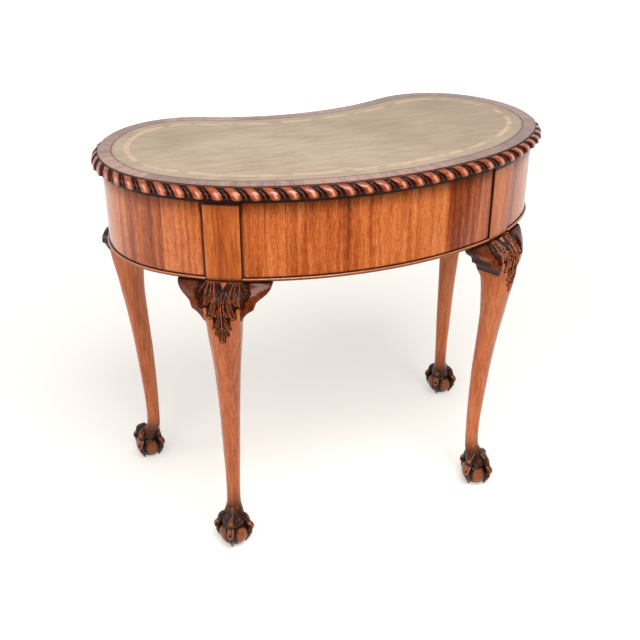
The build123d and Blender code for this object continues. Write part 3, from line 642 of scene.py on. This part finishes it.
def walnut(name, stretch, dark, middle, light, highlight_and_wear=None, mapped=False, gloss=0.34, polish=0.55,
           bands=22.0, fade=0.7, coat_ior=1.35, sheen=0.16, dulled=0.45):
    """Polished walnut. Stretch holds the share of the pattern's rate along each axis, small along the grain.

    A carved piece takes a painted highlight, with some wear, on its ridges, and painted shade, with some dark
    old polish, darkens and dulls its hollows.
    """
    material, place = new_finish(name, mapped)
    along = place.stretched(stretch)
    broad = along.noise(bands, 2.0, 0.5, 0.4)
    streaks = along.noise(bands * 9, 3.0, 0.6)
    figure = (broad * 0.5 + streaks * 0.5).rise(0.28, 0.72)
    pores = along.noise(bands * 34).rise(0.58, 0.74) * 0.45
    colour = pores.mix(figure.ramp((0.0, dark), (0.5, middle), (1.0, light)), [c * 0.45 for c in dark])
    roughness = gloss + streaks * 0.10 + place.noise(9.0, 3.0).rise(0.4, 0.7) * 0.08
    coat = polish
    if highlight_and_wear:
        # painted shade, with some dark old polish, in the hollows, and a painted highlight, with some wear,
        # on the ridges
        hollow = place.attribute("hollow")
        deep = (hollow + (place.noise(240.0, 3.0) - 0.5) * 0.30).rise(0.0, 0.62)
        crest = ((place.noise(90.0) - 0.5) * 0.5 - hollow).rise(0.25, 1.0)
        colour = (crest * fade).mix(deep.mix(colour, (36, 13, 7)), highlight_and_wear)
        roughness = roughness + deep * 0.1
        coat = (1.0 - deep * dulled) * polish
    shine = {"coat_roughness": sheen, "coat_ior": coat_ior, "specular_ior_level": 0.04}
    return lay_on(material, colour, roughness, streaks * 0.35 - pores, 0.12 * mm, coat, **shine)


# the last colour is a painted highlight, with some wear, for the carving's ridges
leg_finish = walnut(
    "leg_walnut", (1.0, 1.0, 0.10), (148, 66, 24), (192, 98, 42), (218, 126, 68), (224, 152, 118), polish=0.9,
    coat_ior=1.45, sheen=0.12,
)
mirrors = {"right": Matrix.Identity(4), "left": Matrix.Diagonal((-1, 1, 1, 1))}
for kind, to_world in leg_frames.items():
    for side, mirror in mirrors.items():
        ankle, foot = leg_places[kind]
        shapes = [post_sheet(kind), shank_sheet(ankle, foot), ball_shape(foot)]
        whole = gather(shapes + [talon_sheet(number, foot) for number in range(4)])
        set_down(whole, mirror @ to_world)
        name = f"{kind}_{side}_leg"
        piece(name + "_carved", whole, leg_finish, name)


# Ears. Two shaped brackets are glued to each knee and carry its swell along the frieze. They are sawn to a
# broken curve below, their arrises are rubbed round, and the tips of the leaf run on to them.
ear_profile = (
    # along from the leg's middle and down from the frieze. Three points in one tuple lie on an arc
    ((1.0, 0.0), (0.96, 0.20), (0.783, 0.38)),
    ((0.783, 0.38), (0.70, 0.47)),
    ((0.70, 0.47), (0.654, 0.66)),
    ((0.654, 0.66), (0.50, 0.79), (0.41, 1.0)),
)
ear_start, ear_arris = post_half + 0.2, 1.6


def ear_edge():
    """Distance out to the sawn edge at many depths."""
    downs, outs = [], []
    for corners in ear_profile:
        points = np.array(corners) * (ear_span, ear_drop)
        straight = (points[0] + points[-1]) / 2
        bend = 2 * points[1] - straight if len(points) == 3 else straight
        for t in np.linspace(0, 1, 12):
            x, y = curve(points[0], bend, points[-1], t)
            outs.append(max(x, ear_start + 0.2))
            downs.append(y)
    return np.array(downs), np.array(outs)


def ear_shape():
    """One bracket to the right of a knee, in the leg's frame."""
    downs, outs = ear_edge()

    def place(u, v):
        down = v * ear_drop
        edge = np.interp(down, downs, outs)
        x = ear_start + (edge - ear_start) * u
        gap = np.minimum(edge - x, ear_drop - down + 0.4)
        arris = ear_arris * np.clip(1 - gap / ear_arris, 0, 1) ** 2
        return np.stack([x, arris - knee_front(x, down), leg_top - down], 1)

    shape = sheet(64, 72, place)
    bmesh.ops.recalc_face_normals(shape, faces=shape.faces)
    if shape.faces[:][0].normal.y > 0:
        bmesh.ops.reverse_faces(shape, faces=shape.faces)
    inner = ear_start + 0.1
    carve(shape, [vertex for vertex in shape.verts if not vertex.is_boundary or vertex.co.x < inner])
    layer = shape.verts.layers.float["hollow"]
    # painted shade along the top under the bead, fading downwards; the sawn edges and the back are darker
    for vertex in shape.verts:
        down = leg_top - vertex.co.z
        vertex[layer] = max(vertex[layer], 0.6 - down / 4, 0.45 * vertex.is_boundary, 0.30 - down / 80)
    for vertex in extruded(shape):
        vertex.co.y = ear_depth
        vertex[layer] = 0.45
    bmesh.ops.recalc_face_normals(shape, faces=shape.faces)
    return shape


ear_finish = walnut(
    "ear_walnut", (1.0, 1.0, 0.14), (50, 15, 3), (88, 32, 6), (130, 56, 16), (224, 152, 118), coat_ior=1.45,
    sheen=0.12,
)
for kind, to_world in leg_frames.items():
    for side, mirror in mirrors.items():
        for place_name, flip in zip(("beyond", "before"), mirrors.values()):
            shape = ear_shape()
            set_down(shape, mirror @ to_world @ flip)
            name = f"{kind}_{side}_leg_ear_{place_name}"
            piece(name + "_carved", shape, ear_finish, name)


# Frieze. Thin walnut veneer is laid on curved rails with its grain upright, in matched leaves, and stops at
# a narrow groove on each side of the posts. A half-round bead is let into the lower edge of the rails.
veneer_thickness, veneer_groove, joint_gap = 1 * mm, 1.4 * mm, 0.2 * mm
bead_height, bead_projection, bead_rebate = 6.5 * mm, 4 * mm, 6 * mm
bead_top = frieze_bottom + bead_height


def beside(kind, out):
    """Distance s of the outline where it passes this far along from a right-hand leg's middle."""
    to_leg = leg_frames[kind].inverted()
    s = leg_middles[kind] + out
    for _ in range(5):
        s += out - (to_leg @ outline.point(s, -frieze_inset, 0)).x * mm
    return s


def runs_between_posts(gap):
    """Start and end of each stretch of frieze between the posts, from the long side round."""
    half = post_half * mm + gap
    front, first_end, last_end, waist = (
        beside(kind, out) for kind in ("long_side", "kneehole") for out in (-half, half)
    )
    return {
        "long_side": (-front, front),
        "right_end": (first_end, last_end),
        "left_end": (-last_end, -first_end),
        "kneehole": (waist, 2 * outline.half - waist),
    }


veneer_profile = [
    (-frieze_inset - veneer_thickness, bead_top),
    (-frieze_inset, bead_top),
    (-frieze_inset, (bead_top + board_bottom) / 2),
    (-frieze_inset, board_bottom),
    (-frieze_inset - veneer_thickness, board_bottom),
]
# the grooves beside the posts hold a thin sheet painted near black, as painted shade with some old polish
groove_back, groove_face = -frieze_inset - veneer_thickness, -frieze_inset - veneer_thickness / 2
groove_profile = [
    (groove_back, bead_top), (groove_face, bead_top), (groove_face, board_bottom), (groove_back, board_bottom)
]
# distances s of the joints between leaves of veneer, and of the line that the figure is matched about
leaf_joints = (-0.645, -0.556, -0.472, -0.392, -0.172, 0.103, 0.330, 0.412, 0.494, 0.573, 0.650)
leaf_middle = -0.042
leaf_tones = (
    # distance s, and how much the wood lightens there
    (-0.645, 0.04), (-0.556, -0.01), (-0.472, -0.07), (-0.392, 0.09), (-0.30, -0.06), (-0.172, 0.04),
    (-0.10, -0.01), (-0.042, 0.05), (0.137, -0.13), (0.190, 0.06), (0.412, -0.03), (0.494, 0.06),
    (0.573, -0.08),
)


def veneer_finish():
    """Walnut veneer with upright grain, in leaves that differ in tone, with grime in clouds and dark joints,
    painted shade under the carved edge, and painted shade, partly grime, above the bead and beside the posts.
    """
    material, place = new_finish("frieze_veneer", mapped=True)
    s, z = place.part("X"), place.part("Y")
    leaf = joint = shift = s * 0.0
    wander = (place.noise(9.0) - 0.5) * 0.003
    for at in leaf_joints:
        leaf = leaf + s.maths("GREATER_THAN", at)
        joint = joint.maths("MAXIMUM", abs(s - at + wander).rise(0.9 * mm, 0.2 * mm))
    for at, step in leaf_tones:
        shift = shift + s.rise(at - 4 * mm, at + 4 * mm) * step
    across = abs(s - leaf_middle) + place.noise(7.0, 1.0) * 0.010 + leaf * 0.37
    grain = across.vector(z * 0.035, leaf)
    dashes = across.vector(z * 0.10, leaf).noise(520.0, 3.0, 0.6)
    figure = grain.noise(15.0) * 0.28 + grain.noise(85.0, 3.0, 0.6) * 0.44 + dashes * 0.28
    colour = (figure + shift).rise(0.33, 0.65).ramp(
        (0.0, (112, 44, 14)), (0.38, (170, 80, 32)), (0.7, (204, 106, 50)), (1.0, (226, 136, 76))
    )
    flecks = across.vector(z * 0.14).noise(1000.0, 1.0).rise(0.56, 0.70) * 0.5
    # painted shade, with some grime, in the seam above the bead
    low_rim = z.rise(bead_top + 3.5 * mm, bead_top + 0.5 * mm)
    # painted shade under the carved edge
    shade_under_moulding = z.rise(board_bottom - 36 * mm, board_bottom - 2 * mm) * 0.55
    clouds = place.noise(50.0, 3.0).rise(0.52, 0.8) * 0.16
    # painted shade, with some old polish, beside the posts and in their grooves
    ends = place.attribute("from_end").rise(6 * mm, 0.0) * 0.8
    grime_and_shade = (low_rim + shade_under_moulding + joint * 0.55 + clouds + ends).held(0.0, 0.92)
    colour = grime_and_shade.mix(flecks.mix(colour, (74, 26, 6)), (44, 15, 4))
    roughness = 0.30 + dashes * 0.10 + grime_and_shade * 0.15
    shine = {"coat_roughness": 0.13, "coat_ior": 1.42, "specular_ior_level": 0.03}
    return lay_on(material, colour, roughness, dashes * 0.4 - flecks, 0.08 * mm, 1.0 - grime_and_shade * 0.8, **shine)


frieze_finish = veneer_finish()
for name, (start, end) in runs_between_posts(veneer_groove).items():
    if name == "kneehole":
        continue
    shape = bmesh.new()
    layer = shape.verts.layers.float.new("from_end")
    outline.sweep(shape, veneer_profile, start, end, 5 * mm)
    for a, b in ((start - veneer_groove, start), (end, end + veneer_groove)):
        outline.sweep(shape, groove_profile, a, b, veneer_groove)
    bmesh.ops.recalc_face_normals(shape, faces=shape.faces)
    places, _ = outline.locate(np.array([vertex.co for vertex in shape.verts]))
    for vertex, s in zip(shape.verts, places):
        vertex[layer] = min(s - start, end - s)
    piece(f"{name}_veneer_sheet", shape, frieze_finish, f"{name}_veneer", across="height")

bead_radius = bead_height / 2
bead_face, bead_back = bead_projection - frieze_inset - bead_radius, -frieze_inset - bead_rebate
bead_profile = [(bead_back, frieze_bottom)] + [
    (bead_face + bead_radius * math.sin(angle), frieze_bottom + bead_radius * (1 - math.cos(angle)))
    for angle in np.linspace(0, math.pi, 11)
] + [(bead_back, bead_top)]
# the last colour is a painted highlight for the bead's upper half
bead_finish = walnut(
    "bead_walnut", (0.08, 1.0, 1.0), (84, 32, 11), (128, 58, 26), (162, 86, 44), (222, 140, 92), mapped=True,
    polish=1.0, bands=40.0, coat_ior=1.5,
)
for name, (start, end) in runs_between_posts(joint_gap).items():
    shape = bmesh.new()
    layer = shape.verts.layers.float.new("hollow")
    outline.sweep(shape, bead_profile, start, end, 6 * mm)
    bmesh.ops.recalc_face_normals(shape, faces=shape.faces)
    # painted shade, with some grime, in the seam at the top; the lower half is painted darker and the upper
    # half takes a painted highlight
    for vertex in shape.verts:
        level = (vertex.co.z - frieze_bottom) / bead_height
        vertex[layer] = 1.0 if level > 0.97 else 0.7 - 1.9 * level
    piece(f"{name}_bead_strip", shape, bead_finish, f"{name}_bead", across="height")


# Carved edge. Four lengths of walnut are glued round the top board and carved with leaning gadroons: plump
# lobes that lean to the right as they come down, with a narrow ridge standing in the groove between them.
moulding_projection, moulding_height, moulding_drop = 13 * mm, 27 * mm, 2.6 * mm
moulding_fillet, moulding_foot = 1.6 * mm, 5 * mm
gadroon_count, gadroon_columns, gadroon_rows = 72, 30, 30
gadroon_depth, gadroon_lean, lobe_share = 4.2 * mm, 0.48, 0.70
moulding_top = desk_height - moulding_drop
moulding_bottom = moulding_top - moulding_height
pitch = 2 * outline.half / gadroon_count


def round_through(*corners):
    """Centre and radius of the circle through three corners of the profile."""
    first, middle, last = np.array(corners)
    ways = np.array([middle - first, last - first])
    centre = first + np.linalg.solve(ways, (ways ** 2).sum(1) / 2)
    return centre, math.dist(centre, first)


round_start, round_end = (moulding_fillet, moulding_top), (moulding_foot, moulding_bottom)
(round_x, round_z), round_radius = round_through(
    round_start, (moulding_projection, (moulding_top + moulding_bottom) / 2), round_end
)
first_angle, last_angle = (math.atan2(z - round_z, x - round_x) for x, z in (round_start, round_end))
moulding_profile = [
    (round_x + round_radius * math.cos(angle), round_z + round_radius * math.sin(angle))
    for angle in np.linspace(first_angle, last_angle, gadroon_rows + 1)
] + [(0.0, moulding_bottom), (0.0, moulding_top)]


def gadroon(s, down):
    """Share of the carving's depth and its painted shade and highlight, at s and at this share of the way
    down.
    """
    fall = np.clip(down / lobe_share, 0, 1)
    place = s / pitch - gadroon_lean * (1 - (1 - fall) ** 1.9)
    across = (place - np.floor(place)) - 0.5
    half = 0.365 - 0.02 * rising(fall, 0.3, 0.8)
    closing = np.sqrt(1 - np.clip((fall - 0.82) / 0.18, 0, 1) ** 2)
    bulge = across / np.maximum(half * closing, 0.01)
    lobe = np.sqrt(np.clip(1 - bulge ** 2, 0, 1)) ** 0.7 * (fall < 0.995)
    rest = 0.5 - np.abs(across)
    rib = 0.6 * np.clip(1 - (rest / 0.055) ** 2, 0, 1) * rising(down, 0.03, 0.10) * (1 - rising(fall, 0.9, 1))
    crest = np.exp(-(((bulge - 0.15) / 0.40) ** 2)) * lobe
    crest = crest * rising(fall, 0.15, 0.5) * (1 - rising(fall, 0.75, 1.0))
    # painted shade in the grooves and down each lobe's sides, a painted highlight along its crest and on the
    # rib in the groove; below the lobes it is painted a little less dark
    dark = 1 - 1.05 * np.maximum(lobe ** 2, rib * 1.3) - 0.85 * crest - 0.25 * rising(down, lobe_share, 0.95)
    depth = (1 - np.maximum(lobe, rib)) * (0.30 + 0.70 * rising(down, 0.0, 0.18))
    return depth, dark


# the last colour is a painted highlight for the crests of the lobes
moulding_finish = walnut(
    "carved_moulding_walnut", (0.10, 1.0, 1.0), (90, 30, 6), (150, 56, 14), (190, 86, 30), (232, 168, 134),
    mapped=True, polish=1.0, bands=30.0, fade=0.8, coat_ior=1.6, sheen=0.20, dulled=0.85,
)
post_middle, lobe_end = leg_middles["long_side"], outline.marks[4]
lengths = {
    "long_side": (-post_middle, post_middle),
    "right_end": (post_middle, lobe_end),
    "left_end": (-lobe_end, -post_middle),
    "waist": (lobe_end, 2 * outline.half - lobe_end),
}
for name, (start, end) in lengths.items():
    shape = bmesh.new()
    layer = shape.verts.layers.float.new("hollow")
    outline.sweep(shape, moulding_profile, start, end, pitch / gadroon_columns)
    bmesh.ops.recalc_face_normals(shape, faces=shape.faces)
    points = np.array([vertex.co for vertex in shape.verts])
    s, offset = outline.locate(points)
    angle = np.arctan2(points[:, 2] - round_z, offset - round_x)
    down = (angle - first_angle) / (last_angle - first_angle)
    on_round = np.abs(np.hypot(points[:, 2] - round_z, offset - round_x) - round_radius) < 0.05 * mm
    depth, dark = gadroon(s, np.clip(down, 0, 1))
    for vertex, carved, deep, shade, lift, at in zip(shape.verts, on_round, depth, dark, angle, s):
        # painted shade: the fillet under the crossband and the faces against the board are full dark
        vertex[layer] = 1.0
        if carved:
            heading, level = outline.at(float(at))[2], math.cos(lift)
            outwards = Vector((math.sin(heading) * level, -math.cos(heading) * level, math.sin(lift)))
            vertex.co -= outwards * float(deep) * gadroon_depth
            vertex[layer] = float(shade)
    node, slot = f"edge_moulding_{name}", "carved_moulding_walnut"
    piece(node + "_gadrooned", shape, moulding_finish, node, crease=60, across="height")


# Crossbanding. Sixteen short lengths of walnut veneer run round the top with their grain across the band.
# Each has its own tone, and the polish over them has gone greyish pink.
border_width, border_segments, border_arris = 24.5 * mm, 16, 0.35 * mm
border_profile = [
    (-border_width, board_top),
    (-border_width, desk_height - border_arris),
    (-border_width + border_arris, desk_height),
    (-border_width / 2, desk_height),
    (-border_arris, desk_height),
    (0.0, desk_height - border_arris),
    (0.0, board_top),
]
border_tones = (0.75, 0.4, 0.1, 0.3, 0.5, 0.25, 0.15, 0.6, 0.45, 0.8, 0.2, 0.5, 0.95, 0.4, 0.65, 1.0)


def crossband_finish():
    """Walnut across the band, greyed by old polish, with dark lines at both edges."""
    material, place = new_finish("crossband_veneer", mapped=True)
    own = place.attribute("tone")
    s, offset = place.part("X"), place.part("Y")
    grain = (s + own * 3.0).vector(offset * 0.10)
    fine = grain.noise(420.0, 3.0, 0.6)
    figure = (grain.noise(60.0) * 0.45 + fine * 0.35 + own * 0.22).rise(0.30, 0.74)
    colour = figure.ramp((0.0, (108, 67, 54)), (0.5, (140, 94, 78)), (1.0, (184, 136, 118)))
    pores = grain.noise(1100.0, 1.0).rise(0.60, 0.78) * 0.30
    worn = place.noise(40.0, 3.0).rise(0.5, 0.72) * 0.25
    outer, inner = offset.rise(-1.3 * mm, -0.3 * mm), (offset + border_width).rise(1.2 * mm, 0.2 * mm)
    edge = (outer + inner).held()
    colour = worn.mix(pores.mix(colour, (92, 50, 36)), (200, 162, 142))
    colour = (edge * 0.9).mix(colour, (30, 12, 7))
    shine = {"coat": (1.0 - edge) * 0.6, "coat_roughness": 0.2, "specular_ior_level": 0.15}
    return lay_on(material, colour, 0.30 + fine * 0.1, fine * 0.4 - pores, 0.06 * mm, **shine)


crossbanding = bmesh.new()
tones = crossbanding.faces.layers.float.new("tone")
length = 2 * outline.half / border_segments
for n, own_tone in enumerate(border_tones):
    before = set(crossbanding.faces)
    outline.sweep(crossbanding, border_profile, n * length, (n + 1) * length, 6 * mm)
    for face in set(crossbanding.faces) - before:
        face[tones] = own_tone
bmesh.ops.recalc_face_normals(crossbanding, faces=crossbanding.faces)
piece(
    "crossbanding_laid", crossbanding, crossband_finish(), "crossbanding", across="offset"
)


# Writing surface. One worn hide is let in flush inside the border, with a blind row of dots near its edge
# and a tooled gold band about an inch in. Dye and gold have rubbed away unevenly.
leather_gap, tooling_width = 0.2 * mm, 45 * mm
leather_edge = -border_width - leather_gap


def leather_finish():
    """Rubbed hide with a blind dotted line, and a gold band of two crossed waves between ruled lines."""
    material, place = new_finish("tooled_leather", mapped=True)
    s, offset = place.part("X"), place.part("Y")
    flat = place.add("TexCoord", output="Object")
    inward = leather_edge - offset
    scuffs = flat.stretched((0.2, 1.0, 1.0)).noise(90.0, 4.0, 0.65)
    specks = flat.noise(420.0)
    figure = (flat.noise(6.0, 4.0, 0.6) * 0.5 + scuffs * 0.5).rise(0.32, 0.70)
    colour = figure.ramp((0.0, (160, 137, 111)), (0.5, (182, 160, 134)), (1.0, (198, 177, 152)))
    # painted shade: the hide darkens towards the right and the back, where less lamp light falls
    shade_to_right_and_back = (flat.part("X") * 0.8 + flat.part("Y") * 0.6).rise(-0.15, 0.45) * 0.5
    colour = shade_to_right_and_back.mix((specks.rise(0.64, 0.74) * 0.5).mix(colour, (110, 82, 60)), (150, 128, 106))
    dot_row = (inward - 3.2 * mm) / (1.3 * mm)
    dot_across = ((s / (4.2 * mm)).maths("FRACT") - 0.5) * 3.4
    dots = (dot_row * dot_row + dot_across * dot_across).rise(1.0, 0.4)
    band = (inward - 27.0 * mm) / (4.6 * mm)
    wave = ((s / (5.6 * mm)).maths("FRACT") * 6.2832).maths("SINE") * 0.55
    twist = abs(band - wave).rise(0.34, 0.16).maths("MAXIMUM", abs(band + wave).rise(0.34, 0.16))
    lines = abs(abs(band) - 0.92).rise(0.16, 0.06)
    tooling = (twist * abs(band).rise(1.0, 0.85)).maths("MAXIMUM", lines)
    gold = tooling * flat.noise(34.0, 3.0).rise(0.30, 0.55)
    rim = inward.rise(1.8 * mm, 0.4 * mm)
    colour = (abs(band).rise(1.05, 0.9) * 0.5).mix(colour, (150, 122, 98))
    colour = (gold * 0.95).mix(colour, (236, 196, 158))
    colour = (dots * 0.8).mix(colour, (104, 78, 58))
    colour = (rim * 0.9).mix(colour, (74, 48, 34))
    roughness = 0.46 + scuffs * 0.16 - gold * 0.12
    height = flat.noise(900.0, 2.0, 0.6) * 0.35 + specks * 0.2 - dots * 0.8 - tooling * 0.8
    return lay_on(material, colour, roughness, height, 0.15 * mm, 0.12, coat_roughness=0.3)


leather = bmesh.new()
bmesh.ops.create_circle(leather, segments=480, radius=1, cap_ends=True)
for n, vertex in enumerate(list(leather.verts)):
    vertex.co = outline.point(n / len(leather.verts) * 2 * outline.half, leather_edge, board_top)
for _ in range(2):
    hide = max(leather.faces, key=lambda face: face.calc_area())
    ring = {"thickness": tooling_width / 2, "use_even_offset": True, "use_boundary": True}
    bmesh.ops.inset_region(leather, faces=[hide], **ring)
bmesh.ops.translate(leather, vec=(0, 0, surface_thickness), verts=extruded(leather))
bmesh.ops.recalc_face_normals(leather, faces=leather.faces)
piece(
    "leather_hide", leather, leather_finish(), "leather_writing_surface", across="offset"
)


# Carcase. The top board is walnut below, and the curved rails, runners, kickers, stops and glue blocks are
# softwood that was never polished. They are the CAD's own solids with bare wood on them.
def dress(node_names, material):
    """Puts a finish on CAD nodes whose own shape shows."""
    for node_name in node_names:
        nodes[node_name].data.materials.clear()
        nodes[node_name].data.materials.append(material)


def bare_wood(name, stretch, dark, light, node_names, gloss=0.62):
    """Unpolished wood on CAD nodes, darker where hands and dust have been."""
    material, place = new_finish(name)
    along = place.stretched(stretch)
    rings = along.noise(26.0, 2.0, 0.5, 0.8)
    fine = along.noise(300.0, 3.0, 0.6)
    figure = (rings * 0.6 + fine * 0.4).rise(0.32, 0.70)
    dust = place.noise(12.0, 4.0).rise(0.45, 0.75) * 0.3
    colour = dust.mix(figure.mix(dark, light), [c * 0.55 for c in dark])
    lay_on(material, colour, gloss + fine * 0.15, fine * 0.5 + rings * 0.2, 0.15 * mm)
    dress(node_names, material)


bare_wood("top_board_wood", (0.08, 1.0, 1.0), (112, 74, 46), (156, 112, 74), ["top_board"])
bare_wood(
    "carcase_softwood", (0.08, 1.0, 1.0), (150, 116, 76), (196, 160, 112),
    ["long_side_rail", "glue_blocks", "left_end_rail", "right_end_rail"],
)
bare_wood(
    "runner_softwood", (1.0, 0.08, 1.0), (146, 112, 74), (192, 156, 110),
    ["drawer_runners", "drawer_kickers", "drawer_stops"],
)


# Kneehole side. Three drawers open here between a lower and an upper rail and two dividers, all veneered
# like the rest of the frieze with the grain upright.
kneehole_finish = walnut(
    "kneehole_veneer", (1.0, 1.0, 0.05), (146, 64, 22), (190, 94, 38), (216, 120, 56), gloss=0.30, polish=0.8,
    bands=30.0,
)
drawers = ("left_drawer", "centre_drawer", "right_drawer")
dress([f"{drawer}_front" for drawer in drawers], kneehole_finish)
dress([f"kneehole_{place}_rail" for place in ("lower", "upper")], kneehole_finish)
dress([f"drawer_divider_{side}" for side in mirrors], kneehole_finish)


# Drawer linings. Sides, backs and bottoms are thin oak, dovetailed and grooved together, and left bare. The
# grain of the sides runs front to back, and that of the backs and bottoms runs across.
bare_wood(
    "drawer_lining_oak", (1.0, 0.06, 1.0), (146, 108, 66), (190, 150, 100),
    [f"{drawer}_{side}_side" for drawer in drawers for side in mirrors], gloss=0.5,
)
bare_wood(
    "drawer_board_oak", (0.06, 1.0, 1.0), (150, 112, 70), (194, 154, 104),
    [f"{drawer}_{board}" for drawer in drawers for board in ("back", "bottom")], gloss=0.5,
)


# Brass handles and steel screws. Cast bails swing in the eyes of two round posts on each drawer, and plain
# screws through the glue blocks hold the top down.
def old_metal(name, dull, bright, dark, node_names):
    """Metal in blotches of dull and bright, with tarnish in blotches and fine scratches."""
    material, place = new_finish(name)
    blotches = place.noise(120.0, 4.0, 0.6)
    scratches = place.stretched((1.0, 6.0, 6.0)).noise(700.0)
    tarnish = place.noise(260.0, 3.0).rise(0.55, 0.75) * 0.6
    colour = tarnish.mix(blotches.rise(0.35, 0.6).mix(dull, bright), dark)
    lay_on(material, colour, 0.24 + blotches * 0.2 + tarnish * 0.3, scratches, 0.03 * mm, metallic=1.0)
    dress(node_names, material)


handles = [f"{drawer}_{part}" for drawer in drawers for part in ("bail", "handle_posts")]
old_metal("aged_brass", (168, 122, 58), (214, 170, 96), (84, 58, 30), handles)
old_metal("dulled_steel", (118, 116, 114), (150, 148, 146), (70, 62, 56), ["top_screws"])


# Studio. A white floor runs out of sight under a broad soft lamp, with three weak ones to the front and left.
# Camera, polish and glass see the floor and the world beyond as white, but the polish finds a dimmer room
# behind the camera, as the dark reflections on the photograph's carving show.
def ray(wire, kind):
    """1 on rays of this kind and 0 on all others."""
    return wire.add("LightPath", output=f"Is {kind} Ray")


def seen(wire):
    """1 where the camera, a reflection or glass looks, and 0 for the light that falls on the desk."""
    return (ray(wire, "Camera") + ray(wire, "Glossy") + ray(wire, "Transmission")).held()


world = bpy.data.worlds.new("studio")
world.use_nodes = True
bpy.context.scene.world = world
sky, ambient = Wire(world.node_tree), 0.40
behind_camera = sky.add("TexCoord", output="Generated").part("Y").rise(0.1, -0.4)
strength = seen(sky) * (1 - ambient) + ambient - behind_camera * ray(sky, "Glossy") * 0.7
fill(world.node_tree.nodes["Background"], {"Color": (1, 1, 1, 1), "Strength": strength})

floor_shape = bmesh.new()
bmesh.ops.create_grid(floor_shape, x_segments=2, y_segments=2, size=25)
floor_mesh = bpy.data.meshes.new("floor")
floor_shape.to_mesh(floor_mesh)
floor_shape.free()
floor_material, floor_place = new_finish("floor")
away = floor_place.add("VectorMath", {"operation": "LENGTH"}, {0: floor_place}, output=1)
room = floor_place.part("Y").rise(-0.7, -1.2) * ray(floor_place, "Glossy")
fill(floor_material.node_tree.nodes["Principled BSDF"], {
    "Base Color": room.mix((242, 235, 226), (110, 100, 90)),
    "Roughness": 0.9,
    "Specular IOR Level": 0.0,
    "Emission Color": seen(floor_place) * (away.rise(0.6, 3.5) * 0.5 + 0.38) * (1.0 - room),
    "Emission Strength": 1.0,
})
floor_mesh.materials.append(floor_material)
stand("floor", floor_mesh)


def aimed(name, data, place, way):
    """Stands a lamp or the camera at its place, looking along this way."""
    made = stand(name, data)
    made.location = place
    made.rotation_mode = "QUATERNION"
    made.rotation_quaternion = way.to_track_quat("-Z", "Y")
    return made


def soft_light(name, place, aim_height, width, power):
    lamp = bpy.data.lights.new(name, "AREA")
    lamp.shape, lamp.size, lamp.energy = "DISK", width, power
    aimed(name, lamp, place, Vector((0, 0, aim_height)) - Vector(place))


soft_light("overhead", (0.0, -1.5, 2.8), 0.5, 1.7, 53)
soft_light("fill", (-1.9, -1.9, 2.0), 0.5, 1.5, 18)
soft_light("side", (-2.6, 0.2, 1.5), 0.5, 1.4, 8)
soft_light("window", (1.5, -2.6, 1.3), 0.6, 0.9, 6)

lens = bpy.data.cameras.new("camera")
lens.sensor_width, lens.lens, lens.clip_end = 36, 52.69, 30
azimuth, elevation = math.radians(-20.98), math.radians(28.30)
level = math.cos(elevation)
view = Vector((-math.sin(azimuth) * level, math.cos(azimuth) * level, -math.sin(elevation)))
bpy.context.scene.camera = aimed("camera", lens, (-0.6374, -1.5923, 1.2932), view)
bpy.context.scene.view_settings.view_transform = "Standard"
